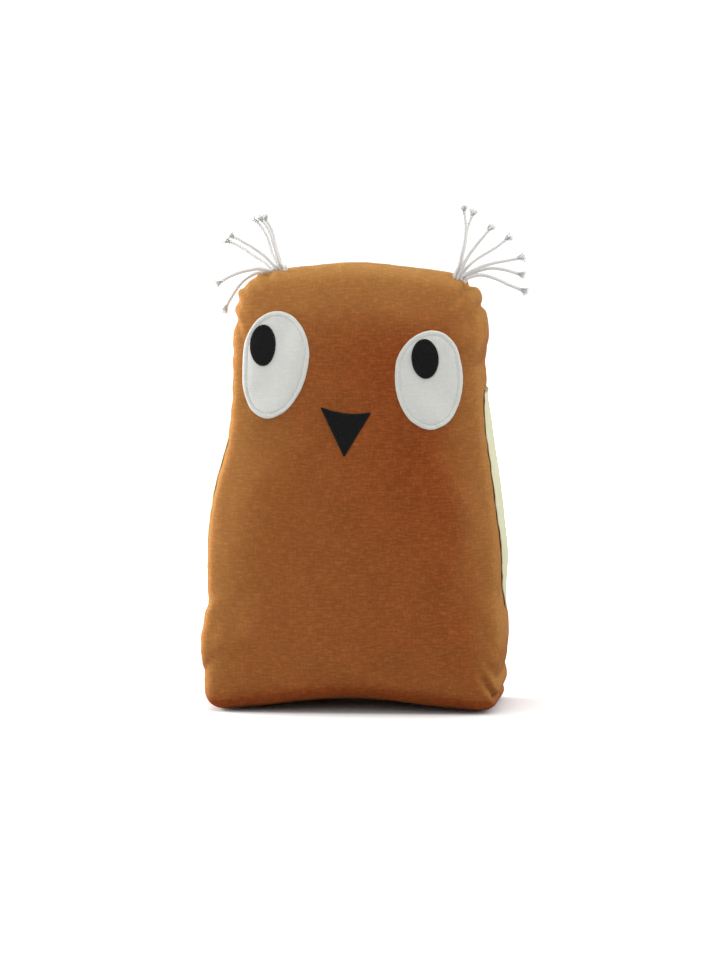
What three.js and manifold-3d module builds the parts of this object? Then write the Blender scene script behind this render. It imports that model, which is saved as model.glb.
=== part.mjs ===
// Plush owl: a stuffed body sewn from a face panel, a back panel, a band round the sides and the top,
// and a base panel, with sewn-on eyes and beak, two padded wing flaps that hang from their top edges,
// and two ear tufts of cotton cord with frayed ends.
//
// Millimetres, +Z up. The face looks along -Y, and left and right are the owl's own, so its left side
// is at +X. The origin is on the floor, under the middle of the body.
import * as THREE from "three";
import { mergeVertices } from "three/addons/utils/BufferGeometryUtils.js";
import Module from "manifold-3d";

const { lerp, smoothstep } = THREE.MathUtils;
const wasm = await Module();
wasm.setup();

// Body sizes
const bodyHeight = 300;
const baseWidth = 204;
const headWidth = 169;
const neckBottom = 105;
const neckTop = 215;
const bandWidth = 70;
const crownBandWidth = 50;
const basePanelDepth = 92;
const skirtHeight = 150;
const baseCornerTop = 50;
const baseCornerBottom = 4;
const bellyReach = 58;
const faceReach = 55.5;
const backReach = 58;
const napeReach = 54.5;
const crownFall = 6;
const seamDraw = 1.6;
const cheekBulge = 1.4;
const bandInset = 1.5;
const backInset = 3;
const baseArch = 7;
const clothThickness = 0.8;
const clearance = 0.3;

// Face appliqué sizes
const leftEyeWidth = 46.5;
const leftEyeHeight = 68;
const rightEyeWidth = 45;
const rightEyeHeight = 73;
const leftPupilWidth = 18.3;
const leftPupilHeight = 26.6;
const rightPupilWidth = 17;
const rightPupilHeight = 28.4;
const beakWidth = 34.5;
const beakHeight = 32;
const beakSag = 2.6;
const patchThickness = 0.7;
const patchLift = 0.35;

// Wing sizes
const wingTop = 215;
const wingLength = 149;
const wingWidth = 58;
const wingSweep = 5;
const wingLift = 0.8;
const wingCloth = 0.6;
const waddingThickness = 1;
const waddingGap = 0.55;

// Ear cord sizes
const cordDiameter = 2;
const cordPitch = 1.2;
const cordRowGap = 2.5;
const cordStandOff = 0.35;
const frayLength = 6.5;
const frayDiameter = 5;
const leftTuftPlace = 74.5;
const rightTuftPlace = 49.5;

// Shape of the body seen from the front, from the middle of the base round by the left side. Each
// point is a share of half the body's width at that height, and a share of the body's height.
const outlineShares = [
  [0, -0.002],
  [0.7, -0.002],
  [0.925, 0.002],
  [0.967, 0.022],
  [0.983, 0.08],
  [1, 0.155],
  [0.98, 0.25],
  [0.98, 0.34],
  [0.98, 0.43],
  [1, 0.51],
  [1.025, 0.6],
  [1.036, 0.7],
  [1.03, 0.785],
  [1.06, 0.86],
  [1.01, 0.92],
  [0.93, 0.952],
  [0.75, 0.975],
  [0.4, 0.992],
  [0, 1.001],
  [-0.36, 0.993],
  [-0.69, 0.974],
  [-0.87, 0.95],
  [-0.94, 0.91],
  [-0.957, 0.86],
  [-0.964, 0.785],
  [-0.97, 0.7],
  [-0.965, 0.6],
  [-0.98, 0.51],
  [-0.977, 0.43],
  [-0.975, 0.34],
  [-0.975, 0.25],
  [-1.012, 0.145],
  [-0.988, 0.065],
  [-0.965, 0.018],
  [-0.92, 0.002],
  [-0.7, -0.002],
];
const basePanelPoints = 2; // the base panel ends this many outline points from the middle of the base

// Shares of the way from the middle of a panel to its seam, and across the band
const faceRingShares = [0, 0.3, 0.56, 0.75, 0.87, 0.945];
const bandRowShares = [0, 0.17, 0.5, 0.83, 1];
const backRingShares = [0.93, 0.8, 0.5, 0];
const columnsPerPoint = 2;

// Rounding of the panels: a higher power is flatter in the middle and turns more sharply at the seam
const crownPower = 7;
const topCrownPower = 3.6;
const bandBulgePower = 2.6;
const baseBulgePower = 8;
const grooveShare = 0.035;
const cheekShare = 0.955;
const cheekSpreadShare = 0.06;

const middle = new THREE.Vector3(0, 0, bodyHeight / 2);
const outline = new THREE.CatmullRomCurve3(
  outlineShares.map(
    ([x, z]) => new THREE.Vector3(x * halfWidthAt(z * bodyHeight), 0, z * bodyHeight),
  ),
  true,
  "centripetal",
);
const columns = outlineShares.length * columnsPerPoint;

function halfWidthAt(height) {
  return lerp(baseWidth, headWidth, smoothstep(height, neckBottom, neckTop)) / 2;
}

// 1 where a point of the outline lies on the base, 0 on the sides and the top
function baseShareAt(height) {
  return 1 - smoothstep(height, baseCornerBottom, baseCornerTop);
}

// Half the distance between the front and back seams at a point of the outline
function seamReachAt(height) {
  const side = lerp(bandWidth, crownBandWidth, smoothstep(height, neckTop, bodyHeight));
  return lerp(basePanelDepth, side, smoothstep(height, 0, skirtHeight)) / 2;
}

// The panels turn over more gently towards the top of the head
function crownPowerAt(height) {
  return lerp(crownPower, topCrownPower, smoothstep(height, neckTop, bodyHeight));
}

// How far the seam is pulled in, which on the base lifts it off the floor
function seamDrawAt(rim) {
  const towardsCorner = Math.min(1, Math.abs(rim.x) / (baseWidth / 2));
  const arch = lerp(baseArch, seamDraw, towardsCorner ** 2);
  return lerp(seamDraw, arch, baseShareAt(rim.z));
}

// How far the face or the back stands from the middle plane
function reachAt(x, height, low, high) {
  const fall = crownFall * (x / halfWidthAt(height)) ** 2;
  return lerp(low, high, smoothstep(height, neckBottom, neckTop)) - fall;
}

// A point of the sewn skin. u runs once round the outline. m runs from -1 at the middle of the face,
// through 0 at the front seam and 1 at the back seam, to 2 at the middle of the back.
function skinPoint(u, m) {
  const rim = outline.getPoint(u - Math.floor(u));
  const base = baseShareAt(rim.z);
  const side = 1 - base;
  const seamReach = seamReachAt(rim.z);
  const draw = seamDrawAt(rim);
  const radius = rim.distanceTo(middle);
  const ring = m < 0 ? 1 + m : m > 1 ? 2 - m : 1;
  const nearSeam = Math.exp(-(((1 - ring) / grooveShare) ** 2));
  let outward;
  let y;
  if (ring < 1) {
    const front = m < 0;
    const crown = Math.sqrt(1 - ring ** crownPowerAt(rim.z));
    const cheek = Math.exp(-(((ring - cheekShare) / cheekSpreadShare) ** 2));
    outward = front ? cheekBulge * cheek * side : -backInset * side * ring;
    outward -= draw * nearSeam;
    const height = lerp(middle.z, rim.z, ring);
    const reach = front
      ? reachAt(rim.x * ring, height, bellyReach, faceReach)
      : reachAt(rim.x * ring, height, backReach, napeReach);
    y = (front ? -1 : 1) * lerp(seamReach, reach, crown);
  } else {
    const across = Math.min(1, Math.max(0, m));
    const slack = Math.abs(2 * across - 1) ** lerp(bandBulgePower, baseBulgePower, base);
    const inset = lerp(bandInset * (1 - slack), backInset * across, across);
    outward = -draw * slack - inset * side;
    y = lerp(-seamReach, seamReach, across);
  }
  const scale = ring + outward / radius;
  return new THREE.Vector3(rim.x * scale, y, lerp(middle.z, rim.z, scale));
}

// A point of the skin moved along the skin's normal; a point moved inwards stays that far off the floor
function skinAt(u, m, lift) {
  const point = skinPoint(u, m);
  if (m === -1 || m === 2) return point.setY(point.y - Math.sign(0.5 - m) * lift);
  const step = 0.002;
  const round = skinPoint(u + step, m).sub(skinPoint(u - step, m));
  const along = skinPoint(u, Math.min(2, m + step)).sub(skinPoint(u, Math.max(-1, m - step)));
  const normal = along.cross(round).normalize();
  point.addScaledVector(normal, lift);
  point.z = Math.max(point.z, Math.max(0, -lift));
  return point;
}

// Rows of points of the skin, from the middle of the face to the middle of the back
const skinRows = [
  ...faceRingShares.map((share) => share - 1),
  ...bandRowShares,
  ...backRingShares.map((share) => 2 - share),
];
const frontSeamRow = faceRingShares.length;
const backSeamRow = frontSeamRow + bandRowShares.length - 1;

function skinNet(inset) {
  return skinRows.map((m) =>
    Array.from({ length: columns }, (_, i) => skinAt(i / columns, m, -inset)),
  );
}

// Adds a four-sided face, leaving out a triangle that has shrunk to a line at a pole
function addFace(corners, a, b, c, d) {
  for (const triangle of [
    [a, b, c],
    [a, c, d],
  ]) {
    const [p, q, r] = triangle;
    if (!p.equals(q) && !q.equals(r) && !r.equals(p)) corners.push(p, q, r);
  }
}

function geometryOf(corners) {
  return mergeVertices(new THREE.BufferGeometry().setFromPoints(corners));
}

// The closed solid between an outer and an inner net of points. A closed net joins its last column to
// its first, and a first row that is all one point is the pole of a round piece.
function layerGeometry(outer, inner, closed) {
  const corners = [];
  const rowCount = outer.length;
  const columnCount = outer[0].length;
  const spans = closed ? columnCount : columnCount - 1;
  for (let i = 0; i < spans; i += 1) {
    const next = (i + 1) % columnCount;
    for (let j = 0; j + 1 < rowCount; j += 1) {
      addFace(corners, outer[j][i], outer[j + 1][i], outer[j + 1][next], outer[j][next]);
      addFace(corners, inner[j][i], inner[j][next], inner[j + 1][next], inner[j + 1][i]);
    }
    const last = rowCount - 1;
    addFace(corners, outer[0][next], inner[0][next], inner[0][i], outer[0][i]);
    addFace(corners, outer[last][i], inner[last][i], inner[last][next], outer[last][next]);
  }
  if (!closed) {
    const end = columnCount - 1;
    for (let j = 0; j + 1 < rowCount; j += 1) {
      addFace(corners, outer[j][0], inner[j][0], inner[j + 1][0], outer[j + 1][0]);
      addFace(corners, outer[j + 1][end], inner[j + 1][end], inner[j][end], outer[j][end]);
    }
  }
  return geometryOf(corners);
}

// Moves the edge of a net back from the seam by half the clearance, towards the next point in
function trimmed(edge, next) {
  return edge.clone().lerp(next, clearance / 2 / edge.distanceTo(next));
}

function trimRows(net, first, last) {
  const end = net.length - 1;
  return net.map((row, j) =>
    row.map((point, i) => {
      if (j === 0 && first) return trimmed(point, net[1][i]);
      if (j === end && last) return trimmed(point, net[end - 1][i]);
      return point;
    }),
  );
}

function trimColumns(net) {
  const end = net[0].length - 1;
  return net.map((row) =>
    row.map((point, i) => {
      if (i === 0) return trimmed(point, row[1]);
      if (i === end) return trimmed(point, row[end - 1]);
      return point;
    }),
  );
}

const outerSkin = skinNet(0);
const innerSkin = skinNet(clothThickness);
const stuffingSkin = skinNet(clothThickness + clearance);

function faceRows(net) {
  return trimRows(net.slice(0, frontSeamRow + 1), false, true);
}

function backRows(net) {
  return trimRows(net.slice(backSeamRow), true, false);
}

// A stretch of the strip between the two seams, from one column to another past the last if need be
function stripPart(net, from, to) {
  const wanted = Array.from({ length: to - from + 1 }, (_, i) => (from + i) % columns);
  const rows = net.slice(frontSeamRow, backSeamRow + 1);
  return trimColumns(trimRows(rows.map((row) => wanted.map((i) => row[i])), true, true));
}

function stuffingGeometry() {
  const corners = [];
  for (let j = 0; j + 1 < stuffingSkin.length; j += 1) {
    for (let i = 0; i < columns; i += 1) {
      const next = (i + 1) % columns;
      const [here, beyond] = [stuffingSkin[j], stuffingSkin[j + 1]];
      addFace(corners, here[i], beyond[i], beyond[next], here[next]);
    }
  }
  return geometryOf(corners);
}

// Where the direction from the middle of the body to a point of the face crosses the outline
function outlinePlace(x, z) {
  const turn = (point) => {
    const angle = Math.atan2(point.x, middle.z - point.z);
    return angle < 0 ? angle + 2 * Math.PI : angle;
  };
  const wanted = turn({ x, z });
  return bisect((u) => turn(outline.getPoint(u)), wanted, 0, 1);
}

// Where a rising function reaches a value
function bisect(rising, value, low, high) {
  let [from, to] = [low, high];
  for (let i = 0; i < 40; i += 1) {
    const half = (from + to) / 2;
    if (rising(half) < value) from = half;
    else to = half;
  }
  return (from + to) / 2;
}

// A point of the face seen from the front, lifted off the cloth
function faceAt(x, z, lift) {
  const u = outlinePlace(x, z);
  const ring = Math.hypot(x, z - middle.z) / outline.getPoint(u).distanceTo(middle);
  return skinAt(u, ring - 1, lift);
}

// A point of the band on the left (+1) or right (-1) side, lifted off the cloth
function sideAt(side, y, z, lift) {
  const heightAt = (u) => outline.getPoint(side > 0 ? u : 1 - u).z;
  const found = bisect(heightAt, z, 0, 0.5);
  const u = side > 0 ? found : 1 - found;
  const reach = seamReachAt(z);
  return skinAt(u, (y + reach) / (2 * reach), lift);
}

// A sewn-on layer: rings of its outline, drawn in to its middle, laid on the cloth at two heights.
// place(a, b, lift) gives a point on the cloth, and bottom and top give the heights at a ring's share.
function patchGeometry(outlinePoints, centre, ringShares, place, bottom, top) {
  const net = (lift) =>
    ringShares.map((share) =>
      outlinePoints.map(([a, b]) => {
        const [x, z] = [lerp(centre[0], a, share), lerp(centre[1], b, share)];
        return place(x, z, lift(share));
      }),
    );
  return layerGeometry(net(top), net(bottom), true);
}

// An oval: half its width and height, and its lean
function ovalOutline(count, centre, halfWidth, halfHeight, lean) {
  return Array.from({ length: count }, (_, i) => {
    const angle = (2 * Math.PI * i) / count;
    const [across, up] = [halfWidth * Math.cos(angle), halfHeight * Math.sin(angle)];
    const [c, s] = [Math.cos(lean), Math.sin(lean)];
    return [centre[0] + across * c + up * s, centre[1] + up * c - across * s];
  });
}

// A free shape through points given as shares of half its width and height
function shapedOutline(count, centre, halfWidth, halfHeight, shares) {
  const curve = new THREE.CatmullRomCurve3(
    shares.map(([x, z]) => new THREE.Vector3(x * halfWidth, 0, z * halfHeight)),
    true,
  );
  return Array.from({ length: count }, (_, i) => {
    const point = curve.getPointAt(i / count);
    return [centre[0] + point.x, centre[1] + point.z];
  });
}

// A triangle with straight sides and a top edge that sags in the middle
function beakOutline(left, right, tip, sag) {
  const steps = 6;
  const side = (from, to, dip) =>
    Array.from({ length: steps }, (_, i) => {
      const t = i / steps;
      return [lerp(from[0], to[0], t), lerp(from[1], to[1], t) - dip * 4 * t * (1 - t)];
    });
  return [...side(tip, left, 0), ...side(left, right, sag), ...side(right, tip, 0)];
}

// Outlines of the two eye whites seen from the front, from the top round by the owl's right, as shares
// of half the white's width and height
const leftEyeShares = [
  [0.1, 1],
  [-0.28, 0.94],
  [-0.64, 0.77],
  [-0.94, 0.44],
  [-1, -0.03],
  [-0.86, -0.46],
  [-0.52, -0.82],
  [0.06, -1],
  [0.6, -0.84],
  [0.88, -0.5],
  [1, -0.07],
  [0.95, 0.34],
  [0.79, 0.7],
  [0.46, 0.93],
];
const rightEyeShares = [
  [0.08, 1],
  [-0.3, 0.95],
  [-0.66, 0.77],
  [-0.93, 0.44],
  [-1, -0.06],
  [-0.95, -0.53],
  [-0.69, -0.87],
  [-0.24, -1],
  [0.3, -0.85],
  [0.71, -0.51],
  [0.93, -0.13],
  [1, 0.26],
  [0.84, 0.64],
  [0.49, 0.91],
];

// Places of the eyes and the beak, as shares of half the head's width and of the body's height
const leftEyePlaceShares = [0.642, 0.75];
const leftPupilPlaceShares = [0.617, 0.799];
const rightEyePlaceShares = [-0.588, 0.781];
const rightPupilPlaceShares = [-0.695, 0.824];
const beakPlaceShares = [-0.024, 0.681];
const beakDropShare = 0.05;
const beakTipShare = 0.03;
const degrees = Math.PI / 180;
const leftPupilLean = -5 * degrees;
const rightPupilLean = 1 * degrees;
const patchRingShares = [0, 0.4, 0.72, 1];
const pupilRingShares = [0, 0.6, 1];
const eyeColumns = 28;
const pupilColumns = 18;

function facePlace([x, z]) {
  return [(x * headWidth) / 2, z * bodyHeight];
}

function facePatch(points, centre, ringShares, lift) {
  const bottom = () => lift;
  const top = () => lift + patchThickness;
  return patchGeometry(points, centre, ringShares, faceAt, bottom, top);
}

function eyeWhiteGeometry(placeShares, width, height, shares) {
  const centre = facePlace(placeShares);
  const points = shapedOutline(eyeColumns, centre, width / 2, height / 2, shares);
  return facePatch(points, centre, patchRingShares, patchLift);
}

function pupilGeometry(placeShares, width, height, lean) {
  const centre = facePlace(placeShares);
  const points = ovalOutline(pupilColumns, centre, width / 2, height / 2, lean);
  return facePatch(points, centre, pupilRingShares, patchLift + patchThickness + clearance);
}

function beakGeometry() {
  const [x, z] = facePlace(beakPlaceShares);
  const drop = beakDropShare * beakWidth;
  const right = [x - beakWidth / 2, z + drop];
  const left = [x + beakWidth / 2, z - drop];
  const tip = [x - beakTipShare * beakWidth, z - beakHeight];
  const points = beakOutline(left, right, tip, beakSag);
  return facePatch(points, [x, z - beakHeight / 3], patchRingShares, patchLift);
}

// Wing outline seen from the left side: square-shouldered above, narrower below and swept backwards
function wingOutline(side, count) {
  const [halfWidth, halfLength] = [wingWidth / 2, wingLength / 2];
  const middleHeight = wingTop - halfLength;
  const fullness = 0.85;
  const shoulder = 0.72;
  const taper = 0.2;
  const points = Array.from({ length: count }, (_, i) => {
    const angle = (2 * Math.PI * i) / count;
    const [across, up] = [Math.cos(angle), Math.sin(angle)];
    const width = Math.sign(across) * Math.abs(across) ** fullness * (1 + taper * up);
    const rise = up > 0 ? up ** shoulder : up;
    const sweep = wingSweep * ((1 - up) / 2) ** 2;
    return [halfWidth * width + sweep, middleHeight + halfLength * rise];
  });
  return side > 0 ? points : points.reverse();
}

const wingRingShares = [0, 0.32, 0.62, 0.85, 1];
const waddingShare = 0.86;
const wingColumns = 24;
const domePower = 6;
const liningTop = wingLift + wingCloth;
const waddingFloor = liningTop + waddingGap;

// Underside of the outer cloth of a wing, domed over the wadding and flat at the rim
function wingDome(share) {
  return waddingFloor + (waddingThickness + waddingGap) * (1 - share ** domePower);
}

function wingLayer(side, scale, bottom, top) {
  const centre = [0, wingTop - wingLength / 2];
  const points = wingOutline(side, wingColumns).map(([y, z]) => [
    lerp(centre[0], y, scale),
    lerp(centre[1], z, scale),
  ]);
  const place = (y, z, lift) => sideAt(side, y, z, lift);
  return patchGeometry(points, centre, wingRingShares, place, bottom, top);
}

function wingLiningGeometry(side) {
  return wingLayer(side, 1, () => wingLift, () => liningTop);
}

function wingWaddingGeometry(side) {
  const top = (share) => wingDome(share * waddingShare) - waddingGap;
  return wingLayer(side, waddingShare, () => waddingFloor, top);
}

function wingOuterGeometry(side) {
  return wingLayer(side, 1, wingDome, (share) => wingDome(share) + wingCloth);
}

// Routes of the ear cords, from the uppermost to the lowest. Each point is [across, forward or back,
// up] from the place where the tuft is sewn in, in millimetres.
const leftCordRoutes = [
  [[-2.6, -1.8, 5.6], [-0.2, -2.4, 15], [2, -3, 25.6], [3.2, -3.6, 33.4], [1.6, -4.4, 45.4]],
  [[-1.2, 1.8, 6.2], [1.4, 2.6, 15], [3.6, 3.4, 26.7], [5, 4.2, 36.2], [8.2, 5, 43]],
  [[0.4, -1.8, 6.6], [3.6, -2.8, 13.8], [7.4, -4, 20], [12.7, -5.4, 26.7], [17.6, -6.6, 32.8]],
  [[1.6, 1.8, 5.6], [6.4, 3, 10.8], [13.9, 4.4, 16.2], [22.7, 6, 21.2], [28.6, 7, 25.4]],
  [[2.9, -1.8, 4.4], [8, -2.8, 7.8], [15.6, -4.2, 10.2], [24.9, -6, 12], [36.4, -8, 14.2]],
  [[4, 1.8, 3.2], [9, 2.6, 5.6], [16, 3.6, 7.2], [24, 4.8, 7.5], [37, 6, 4]],
  [[5.2, -1.8, 2], [9.6, -2.4, 3.2], [15, -3, 3], [22, -3.8, 0.4], [39.6, -5, -6.4]],
];
const rightCordRoutes = [
  [[2.6, 1.8, 5.8], [0.2, 2.8, 15.7], [-1.8, 3.6, 23.5], [-3.8, 4.4, 30.4], [-4.6, 4.8, 33]],
  [[1.6, -1.8, 6.2], [-1.2, -3, 16.9], [-3.2, -4, 24.7], [-5.3, -5, 30.4], [-6.8, -5.4, 33.4]],
  [[0.4, 1.8, 6], [-3.4, 2.8, 15.6], [-6.4, 3.8, 23.4], [-9.4, 4.8, 28.9], [-13, 5.6, 32.6]],
  [[-0.8, -1.8, 5.4], [-5, -3, 9.4], [-12.8, -4.6, 14.4], [-21.7, -6.4, 19.4], [-28, -7.6, 22.6]],
  [[-2, 1.8, 4.2], [-7.4, 2.8, 7.4], [-15.6, 4, 12], [-23.9, 5.2, 16.9], [-30.6, 6, 19.2]],
  [[-3.2, -1.8, 3], [-7.6, -2.6, 4], [-13.4, -3.4, 3.2], [-21.6, -4.6, 0.8], [-36, -7, -6.6]],
  [[-4.4, 2.6, 2.4], [-9.6, 3.6, 1.6], [-17, 4, -1.4], [-24.6, 4, -6.2], [-35.4, 3, -20]],
];

// The place on the outline above a distance across the head
function outlinePlaceAbove(x) {
  return bisect((u) => -outline.getPoint(u).x, -x, 0.25, 0.75);
}

// A place on the band behind the front seam, counted in rows of cords, at a distance across the head
function tuftPoint(x, row, lift) {
  return skinAt(outlinePlaceAbove(x), (row * cordRowGap) / crownBandWidth, lift);
}

// Where a cord leaves the band, and the end of its short straight stem. The cords stand in two rows.
function cordStem(place, index) {
  const along = (index - (leftCordRoutes.length - 1) / 2) * cordPitch * Math.sign(place);
  const row = 1 + (index % 2 === 0 ? -1 : 1) * Math.sign(place) * 0.5;
  return [cordStandOff, cordStandOff + cordDiameter].map((lift) =>
    tuftPoint(place + along, row, lift),
  );
}

function solidOf(geometry) {
  const plain = new THREE.BufferGeometry();
  plain.setAttribute("position", geometry.getAttribute("position"));
  if (geometry.index) plain.setIndex(geometry.index);
  const merged = mergeVertices(plain);
  return new wasm.Manifold(
    new wasm.Mesh({
      numProp: 3,
      vertProperties: merged.getAttribute("position").array,
      triVerts: new Uint32Array(merged.index.array),
    }),
  );
}

function geometryOfSolid(solid) {
  const mesh = solid.getMesh();
  const geometry = new THREE.BufferGeometry();
  geometry.setAttribute("position", new THREE.BufferAttribute(mesh.vertProperties, 3));
  geometry.setIndex(new THREE.BufferAttribute(mesh.triVerts, 1));
  return geometry;
}

function ringShape(diameter, sides) {
  const points = Array.from({ length: sides }, (_, i) => {
    const angle = (2 * Math.PI * i) / sides;
    return new THREE.Vector2(Math.cos(angle), Math.sin(angle)).multiplyScalar(diameter / 2);
  });
  return new THREE.Shape(points);
}

// One ear cord: a round cord along its route, with its end opened out into a frayed brush
function cordGeometry(place, index, routes) {
  const sides = 8;
  const cordSteps = 6;
  const sewnIn = tuftPoint(place, 1, 0);
  const route = routes[index].map(([x, y, z]) => new THREE.Vector3(x, y, z).add(sewnIn));
  const points = [...cordStem(place, index), ...route];
  const path = new THREE.CatmullRomCurve3(points, false, "centripetal");
  const tube = new THREE.ExtrudeGeometry(ringShape(cordDiameter, sides), {
    steps: cordSteps,
    extrudePath: path,
    bevelEnabled: false,
  });
  const fray = new THREE.CylinderGeometry(
    frayDiameter / 2,
    cordDiameter / 2,
    frayLength,
    sides,
  );
  const direction = path.getTangent(1);
  fray.applyQuaternion(
    new THREE.Quaternion().setFromUnitVectors(new THREE.Vector3(0, 1, 0), direction),
  );
  const end = path.getPoint(1).addScaledVector(direction, frayLength / 2 - cordDiameter / 2);
  fray.translate(end.x, end.y, end.z);
  return geometryOfSolid(solidOf(tube).add(solidOf(fray)));
}

const rust = new THREE.MeshStandardMaterial({ color: 0x8f4d22, roughness: 0.95 });
const fibre = new THREE.MeshStandardMaterial({ color: 0xefeee8, roughness: 1 });
const paleGreen = new THREE.MeshStandardMaterial({ color: 0xd6cfa6, roughness: 0.95 });
const white = new THREE.MeshStandardMaterial({ color: 0xe4e3dc, roughness: 0.9 });
const black = new THREE.MeshStandardMaterial({ color: 0x1c1c1e, roughness: 0.9 });
const cotton = new THREE.MeshStandardMaterial({ color: 0xe9e8e2, roughness: 0.95 });

const owl = new THREE.Group();

function addPiece(name, geometry, material) {
  const mesh = new THREE.Mesh(geometry, material);
  mesh.name = name;
  owl.add(mesh);
}

const baseEnd = basePanelPoints * columnsPerPoint;
const backOfBase = columns - baseEnd;

addPiece("stuffing", stuffingGeometry(), fibre);
addPiece("face_panel", layerGeometry(faceRows(outerSkin), faceRows(innerSkin), true), rust);
addPiece("back_panel", layerGeometry(backRows(outerSkin), backRows(innerSkin), true), rust);
addPiece(
  "side_band",
  layerGeometry(
    stripPart(outerSkin, baseEnd, backOfBase),
    stripPart(innerSkin, baseEnd, backOfBase),
    false,
  ),
  rust,
);
addPiece(
  "base_panel",
  layerGeometry(
    stripPart(outerSkin, backOfBase, columns + baseEnd),
    stripPart(innerSkin, backOfBase, columns + baseEnd),
    false,
  ),
  rust,
);

addPiece(
  "left_eye_white",
  eyeWhiteGeometry(leftEyePlaceShares, leftEyeWidth, leftEyeHeight, leftEyeShares),
  white,
);
addPiece(
  "right_eye_white",
  eyeWhiteGeometry(rightEyePlaceShares, rightEyeWidth, rightEyeHeight, rightEyeShares),
  white,
);
addPiece(
  "left_pupil",
  pupilGeometry(leftPupilPlaceShares, leftPupilWidth, leftPupilHeight, leftPupilLean),
  black,
);
addPiece(
  "right_pupil",
  pupilGeometry(rightPupilPlaceShares, rightPupilWidth, rightPupilHeight, rightPupilLean),
  black,
);
addPiece("beak", beakGeometry(), black);

for (const [name, side] of [
  ["left", 1],
  ["right", -1],
]) {
  addPiece(`${name}_wing_lining`, wingLiningGeometry(side), paleGreen);
  addPiece(`${name}_wing_wadding`, wingWaddingGeometry(side), fibre);
  addPiece(`${name}_wing_cloth`, wingOuterGeometry(side), paleGreen);
}

leftCordRoutes.forEach((_, i) =>
  addPiece(`left_tuft_cord_${i + 1}`, cordGeometry(leftTuftPlace, i, leftCordRoutes), cotton),
);
rightCordRoutes.forEach((_, i) =>
  addPiece(`right_tuft_cord_${i + 1}`, cordGeometry(-rightTuftPlace, i, rightCordRoutes), cotton),
);

export default owl;
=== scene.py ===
"""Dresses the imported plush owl: its sewn body, face patches, wing flaps and ear tufts of cord.

Everything is in metres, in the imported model's own frame: +Z up, the face looks along -Y, and left
and right are the owl's own, so its left side is at +X.
"""
import math

import bmesh
import bpy
import numpy as np
from bpy.props import FloatProperty, FloatVectorProperty, IntProperty, PointerProperty
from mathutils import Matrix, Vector
from mathutils.bvhtree import BVHTree


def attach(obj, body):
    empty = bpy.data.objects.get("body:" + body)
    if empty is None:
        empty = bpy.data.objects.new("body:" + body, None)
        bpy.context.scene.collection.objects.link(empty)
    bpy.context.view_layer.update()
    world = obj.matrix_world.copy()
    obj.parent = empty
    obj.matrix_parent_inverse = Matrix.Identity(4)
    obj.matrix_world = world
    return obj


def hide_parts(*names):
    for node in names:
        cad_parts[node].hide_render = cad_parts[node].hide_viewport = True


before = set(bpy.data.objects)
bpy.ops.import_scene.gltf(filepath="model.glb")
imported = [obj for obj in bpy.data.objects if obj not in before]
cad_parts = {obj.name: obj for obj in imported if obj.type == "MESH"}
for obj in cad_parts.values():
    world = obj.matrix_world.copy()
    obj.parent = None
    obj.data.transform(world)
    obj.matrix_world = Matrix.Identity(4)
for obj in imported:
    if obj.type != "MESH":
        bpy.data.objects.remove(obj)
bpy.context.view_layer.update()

bl_info = {
    "name": "Plush owl",
    "version": (1, 0, 0),
    "blender": (4, 5, 0),
    "location": "View3D > Sidebar > Owl",
    "description": "Sews, stuffs and dresses a plush owl around its packed model",
    "category": "Object",
}

MM = 0.001

# Where each piece's random draws start. The second eye or pupil and the other cords of a tuft count
# on from there, and a cord's fray stands this much further on
SEEDS = {
    "gathers": 7, "eye": 20, "pupil": 30, "beak": 41, "wing_outer": 50, "wing_under": 51,
    "wing_filling": 52, "left_tuft": 100, "right_tuft": 200,
}
FRAY_SEED_STEP = 50


# Sizes of the pattern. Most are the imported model's own; the hem, the vault under the front and some
# points of the outline follow the photograph more closely

BODY_HEIGHT = 0.3
BASE_WIDTH = 0.204
HEAD_WIDTH = 0.169
NECK = (0.105, 0.215)
BAND_WIDTH = 0.07
CROWN_BAND_WIDTH = 0.05
BASE_PANEL_DEPTH = 0.092
SKIRT_HEIGHT = 0.15
BASE_CORNER = (0.004, 0.05)
FRONT_REACH = (0.058, 0.0555)
BACK_REACH = (0.058, 0.0545)
CROWN_FALL = 0.006
SEAM_DRAW = 0.0016
CHEEK_BULGE = 0.0014
BAND_INSET = 0.0015
BACK_INSET = 0.003
BASE_ARCH = 0.0088
ARCH_HALF_WIDTH = 0.12
ARCH_SHARE = 0.16
VAULT_SHARE = (0.3, 0.95)
CROWN_POWER = 7
TOP_CROWN_POWER = 3.6
HEM_POWER = 14
BAND_POWER = 2.6
BASE_POWER = 8
GROOVE_SHARE = 0.035
CHEEK_SHARE = (0.955, 0.06)
BASE_END = 2 / 36
TOP_LEFT_CORNER = 14.4 / 36
TOP_RIGHT_CORNER = 21.6 / 36

# The body seen from the front, from the middle of the base round by the left side: shares of half
# the width at that height, and of the height
OUTLINE_SHARES = np.array([
    (0, -0.002), (0.7, -0.002), (0.922, 0.004), (0.962, 0.024), (0.972, 0.08), (1, 0.155),
    (0.98, 0.25), (0.98, 0.34), (0.98, 0.43), (1, 0.51), (1.025, 0.6), (1.036, 0.7),
    (1.03, 0.785), (1.045, 0.86), (1, 0.92), (0.93, 0.957), (0.77, 0.976), (0.4, 0.991),
    (0, 1.001), (-0.36, 0.993), (-0.69, 0.98), (-0.875, 0.955), (-0.94, 0.912), (-0.957, 0.86),
    (-0.964, 0.785), (-0.97, 0.7), (-0.965, 0.6), (-0.98, 0.51), (-0.977, 0.43), (-0.975, 0.34),
    (-0.975, 0.25), (-1.012, 0.145), (-0.988, 0.065), (-0.965, 0.018), (-0.92, 0.002),
    (-0.7, -0.002),
])


def lerp(a, b, t):
    return a + (b - a) * t


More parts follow.
